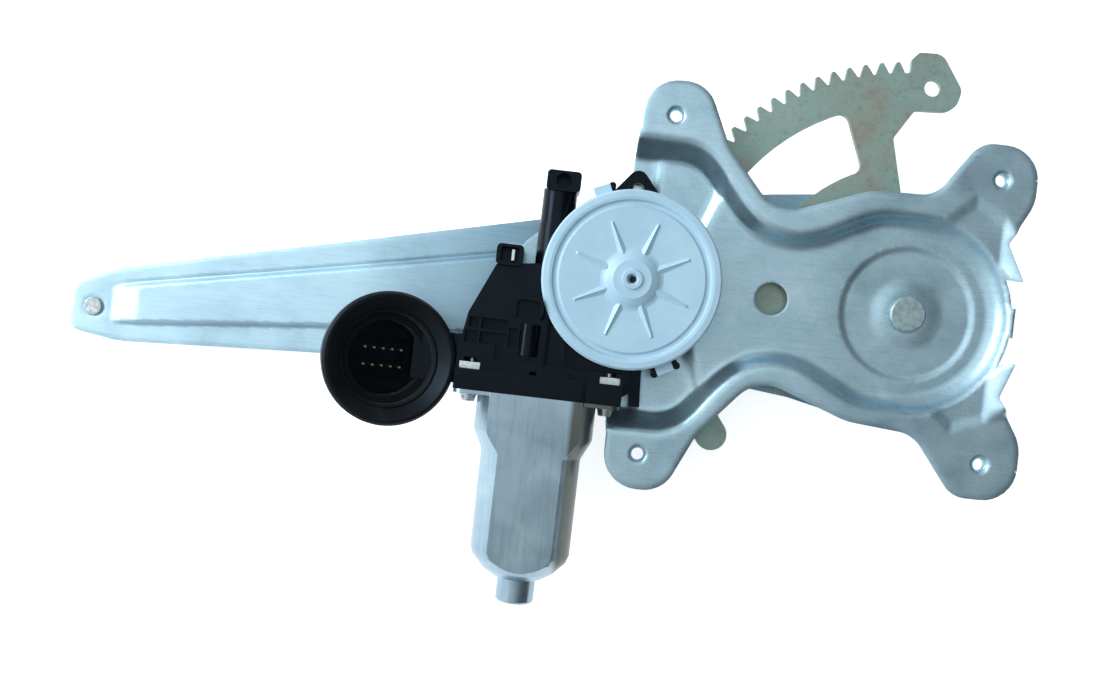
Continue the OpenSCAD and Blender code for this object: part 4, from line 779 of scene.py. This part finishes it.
# Enamelled copper: a red-brown varnish over wire 0.6 mm thick, drawn as coarser strands.
copper_wire, tree, shader = start_material("enamelled copper wire", 0.3, 0.7)
place = add(tree, "ShaderNodeTexCoord").outputs["Object"]
settings = {"bands_direction": "DIAGONAL", "Scale": layers(0.6), "Distortion": 2.0}
strand = add(tree, "ShaderNodeTexWave", settings, {"Vector": place}).outputs["Fac"]
stops = [(0.2, "#6e3416"), (0.8, "#b5642e")]
tone = add(tree, "ShaderNodeValToRGB", {"stops": stops}, {"Fac": strand}).outputs["Color"]
tree.links.new(tone, shader.inputs["Base Color"])
relief = add(tree, "ShaderNodeBump", {"Strength": 0.6, "Distance": 0.3 * MM}, {"Height": strand})
tree.links.new(relief.outputs["Normal"], shader.inputs["Normal"])

# Sintered bronze: dull and oily with open pores.
bronze, tree, shader = start_material("oiled sintered bronze", 0.42, 0.85)
place = add(tree, "ShaderNodeTexCoord").outputs["Object"]
settings = {"Scale": grain(0.6), "Detail": 3.0, "Roughness": 0.6}
pores = add(tree, "ShaderNodeTexNoise", settings, {"Vector": place}).outputs["Fac"]
stops = [(0.35, "#6e5426"), (0.6, "#a8843c")]
tone = add(tree, "ShaderNodeValToRGB", {"stops": stops}, {"Fac": pores}).outputs["Color"]
tree.links.new(tone, shader.inputs["Base Color"])

# Sintered ferrite and pressed carbon: dark, matt and faintly granular.
ferrite, tree, shader = start_material("sintered ferrite", 0.62)
place = add(tree, "ShaderNodeTexCoord").outputs["Object"]
settings = {"Scale": grain(0.8), "Detail": 3.0, "Roughness": 0.6}
granule = add(tree, "ShaderNodeTexNoise", settings, {"Vector": place}).outputs["Fac"]
stops = [(0.35, "#2b2b2e"), (0.65, "#414145")]
tone = add(tree, "ShaderNodeValToRGB", {"stops": stops}, {"Fac": granule}).outputs["Color"]
tree.links.new(tone, shader.inputs["Base Color"])
carbon, tree, shader = start_material("pressed carbon", 0.55)
place = add(tree, "ShaderNodeTexCoord").outputs["Object"]
settings = {"Scale": grain(0.5), "Detail": 3.0, "Roughness": 0.6}
granule = add(tree, "ShaderNodeTexNoise", settings, {"Vector": place}).outputs["Fac"]
stops = [(0.35, "#1d1d1f"), (0.65, "#343437")]
tone = add(tree, "ShaderNodeValToRGB", {"stops": stops}, {"Fac": granule}).outputs["Color"]
tree.links.new(tone, shader.inputs["Base Color"])

dress("motor_can", can_zinc, 1.0, 25)
dress("magnets", ferrite)
dress("brush_holder", moulded_black)
dress("brushes", carbon)
dress("armature_shaft", bright_zinc)
dress("armature_core", lamination)
dress("armature_windings", copper_wire)
dress("commutator", copper_wire)
for bush in ("front_bearing", "tip_bearing", "rear_bearing"):
    dress(bush, bronze)
dress("thrust_plug", acetal)


# Fasteners
# Two screws with washers hold the motor, and their square nuts drop into slots in the housing.
# Three screws come through the plate from behind, and a spring strip stands in the post.

for fastener in ("motor_screws", "motor_nuts", "mounting_screws", "post_clip"):
    dress(fastener, bright_zinc, 0.15)


# Connector
# The leads end in a moulded socket that stands in a round rubber boot. The boot seals against
# the inner panel's hole, and ten tinned terminals stand in two rows.

# Tinned brass: pale gold under a dull tin skin.
tinned_brass, tree, shader = start_material("tinned brass", 0.3, 0.95)
place = add(tree, "ShaderNodeTexCoord").outputs["Object"]
settings = {"Scale": grain(1.2), "Detail": 3.0, "Roughness": 0.6}
skin = add(tree, "ShaderNodeTexNoise", settings, {"Vector": place}).outputs["Fac"]
stops = [(0.35, "#a4946a"), (0.65, "#c9bc94")]
tone = add(tree, "ShaderNodeValToRGB", {"stops": stops}, {"Fac": skin}).outputs["Color"]
tree.links.new(tone, shader.inputs["Base Color"])

dress("connector_body", moulded_black, 0.3)
dress("connector_boot", rubber, 0.7)
dress("terminals", tinned_brass)


# Studio
# A pale floor under the part, a soft sky that is brighter to the upper left, and two large
# lamps. The camera looks straight down on the plate, as the photograph does.

floor_size = 6.0
floor_gap = 2 * MM
bpy.ops.mesh.primitive_plane_add(size=floor_size, location=(0, 0, cad_box[0][2] - floor_gap))
floor = bpy.context.object
floor.name = "studio_floor"

# Matt white floor board: it shows as a plain white ground to the camera and in the metal, and
# keeps the soft shadow.
board, tree, shader = start_material("matt white board", 0.9)
shader.inputs["Base Color"].default_value = linear("#f7f8f8")
path = add(tree, "ShaderNodeLightPath").outputs
links = {0: path["Is Camera Ray"], 1: path["Is Glossy Ray"]}
straight = add(tree, "ShaderNodeMath", {"operation": "ADD"}, links).outputs["Value"]
links = {0: straight, 1: path["Is Transmission Ray"]}
straight = add(tree, "ShaderNodeMath", {"operation": "ADD", "use_clamp": True}, links)
tree.links.new(straight.outputs["Value"], shader.inputs["Emission Strength"])
shader.inputs["Emission Color"].default_value = linear("#d6d6d6")
floor.data.materials.append(board)

# The sky is brightest on the left, a little above the part, and darkest on the right. The camera
# sees it white, and so do glossy and transmitted rays that look down.
world = bpy.data.worlds.new("soft studio")
bpy.context.scene.world = world
world.use_nodes = True
tree = world.node_tree
sky = tree.nodes["Background"]
bright_side = (-0.92, 0.2, 0.35)
direction = add(tree, "ShaderNodeTexCoord").outputs["Generated"]
settings = {"operation": "DOT_PRODUCT", 1: bright_side}
along = add(tree, "ShaderNodeVectorMath", settings, {0: direction}).outputs["Value"]
settings = {"From Min": -0.9, "From Max": 0.9}
level = add(tree, "ShaderNodeMapRange", settings, {"Value": along}).outputs["Result"]
stops = [(0.0, "#484848"), (0.4, "#686868"), (0.5, "#8e8e8e")]
stops += [(0.7, "#b4b4b4"), (0.88, "#e9e9e9"), (1.0, "#ffffff")]
tone = add(tree, "ShaderNodeValToRGB", {"stops": stops}, {"Fac": level}).outputs["Color"]
tree.links.new(tone, sky.inputs["Color"])
sky.inputs["Strength"].default_value = 1.15
path = add(tree, "ShaderNodeLightPath").outputs
upward = add(tree, "ShaderNodeSeparateXYZ", {}, {"Vector": direction}).outputs["Z"]
below = add(tree, "ShaderNodeMath", {"operation": "LESS_THAN", 1: 0.0}, {0: upward}).outputs["Value"]
links = {0: path["Is Glossy Ray"], 1: path["Is Transmission Ray"]}
bent = add(tree, "ShaderNodeMath", {"operation": "ADD", "use_clamp": True}, links).outputs["Value"]
links = {0: bent, 1: below, 2: path["Is Camera Ray"]}
shown = add(tree, "ShaderNodeMath", {"operation": "MULTIPLY_ADD", "use_clamp": True}, links)
white = add(tree, "ShaderNodeBackground", {"Color": linear("#ffffff"), "Strength": 1.0})
links = {0: shown.outputs["Value"], 1: sky.outputs["Background"], 2: white.outputs["Background"]}
seen = add(tree, "ShaderNodeMixShader", {}, links)
tree.links.new(seen.outputs["Shader"], tree.nodes["World Output"].inputs["Surface"])


def lamp(name, place, target, size, power, code):
    """Large soft lamp that faces a point."""
    data = bpy.data.lights.new(name, "AREA")
    data.shape = "RECTANGLE"
    data.size = size[0]
    data.size_y = size[1]
    data.energy = power
    data.color = linear(code)[:3]
    made = bpy.data.objects.new(name, data)
    made.location = place
    made.rotation_euler = (Vector(target) - Vector(place)).to_track_quat("-Z", "Y").to_euler()
    bpy.context.collection.objects.link(made)


middle = (Vector(cad_box[0]) + Vector(cad_box[1])) / 2
lamp("window light", place=(-1.05, 0.3, 0.65), target=middle, size=(1.0, 0.5),
     power=11, code="#f8fcff")
lamp("ceiling light", place=(-0.05, 0.2, 1.2), target=middle, size=(0.8, 0.8),
     power=1.2, code="#ffffff")

# The photograph's camera: straight above the plate, turned by the part's lie in the picture
camera_x = -41.05 * MM
camera_y = -102.77 * MM
camera_z = 447.0 * MM
camera_roll = math.radians(6.6)
data = bpy.data.cameras.new("photo camera")
data.sensor_width = 36.0
data.lens = 35.32
camera = bpy.data.objects.new("photo camera", data)
camera.location = (camera_x, camera_y, camera_z)
camera.rotation_euler = (0, 0, camera_roll)
bpy.context.collection.objects.link(camera)
scene = bpy.context.scene
scene.camera = camera
scene.view_settings.view_transform = "Standard"
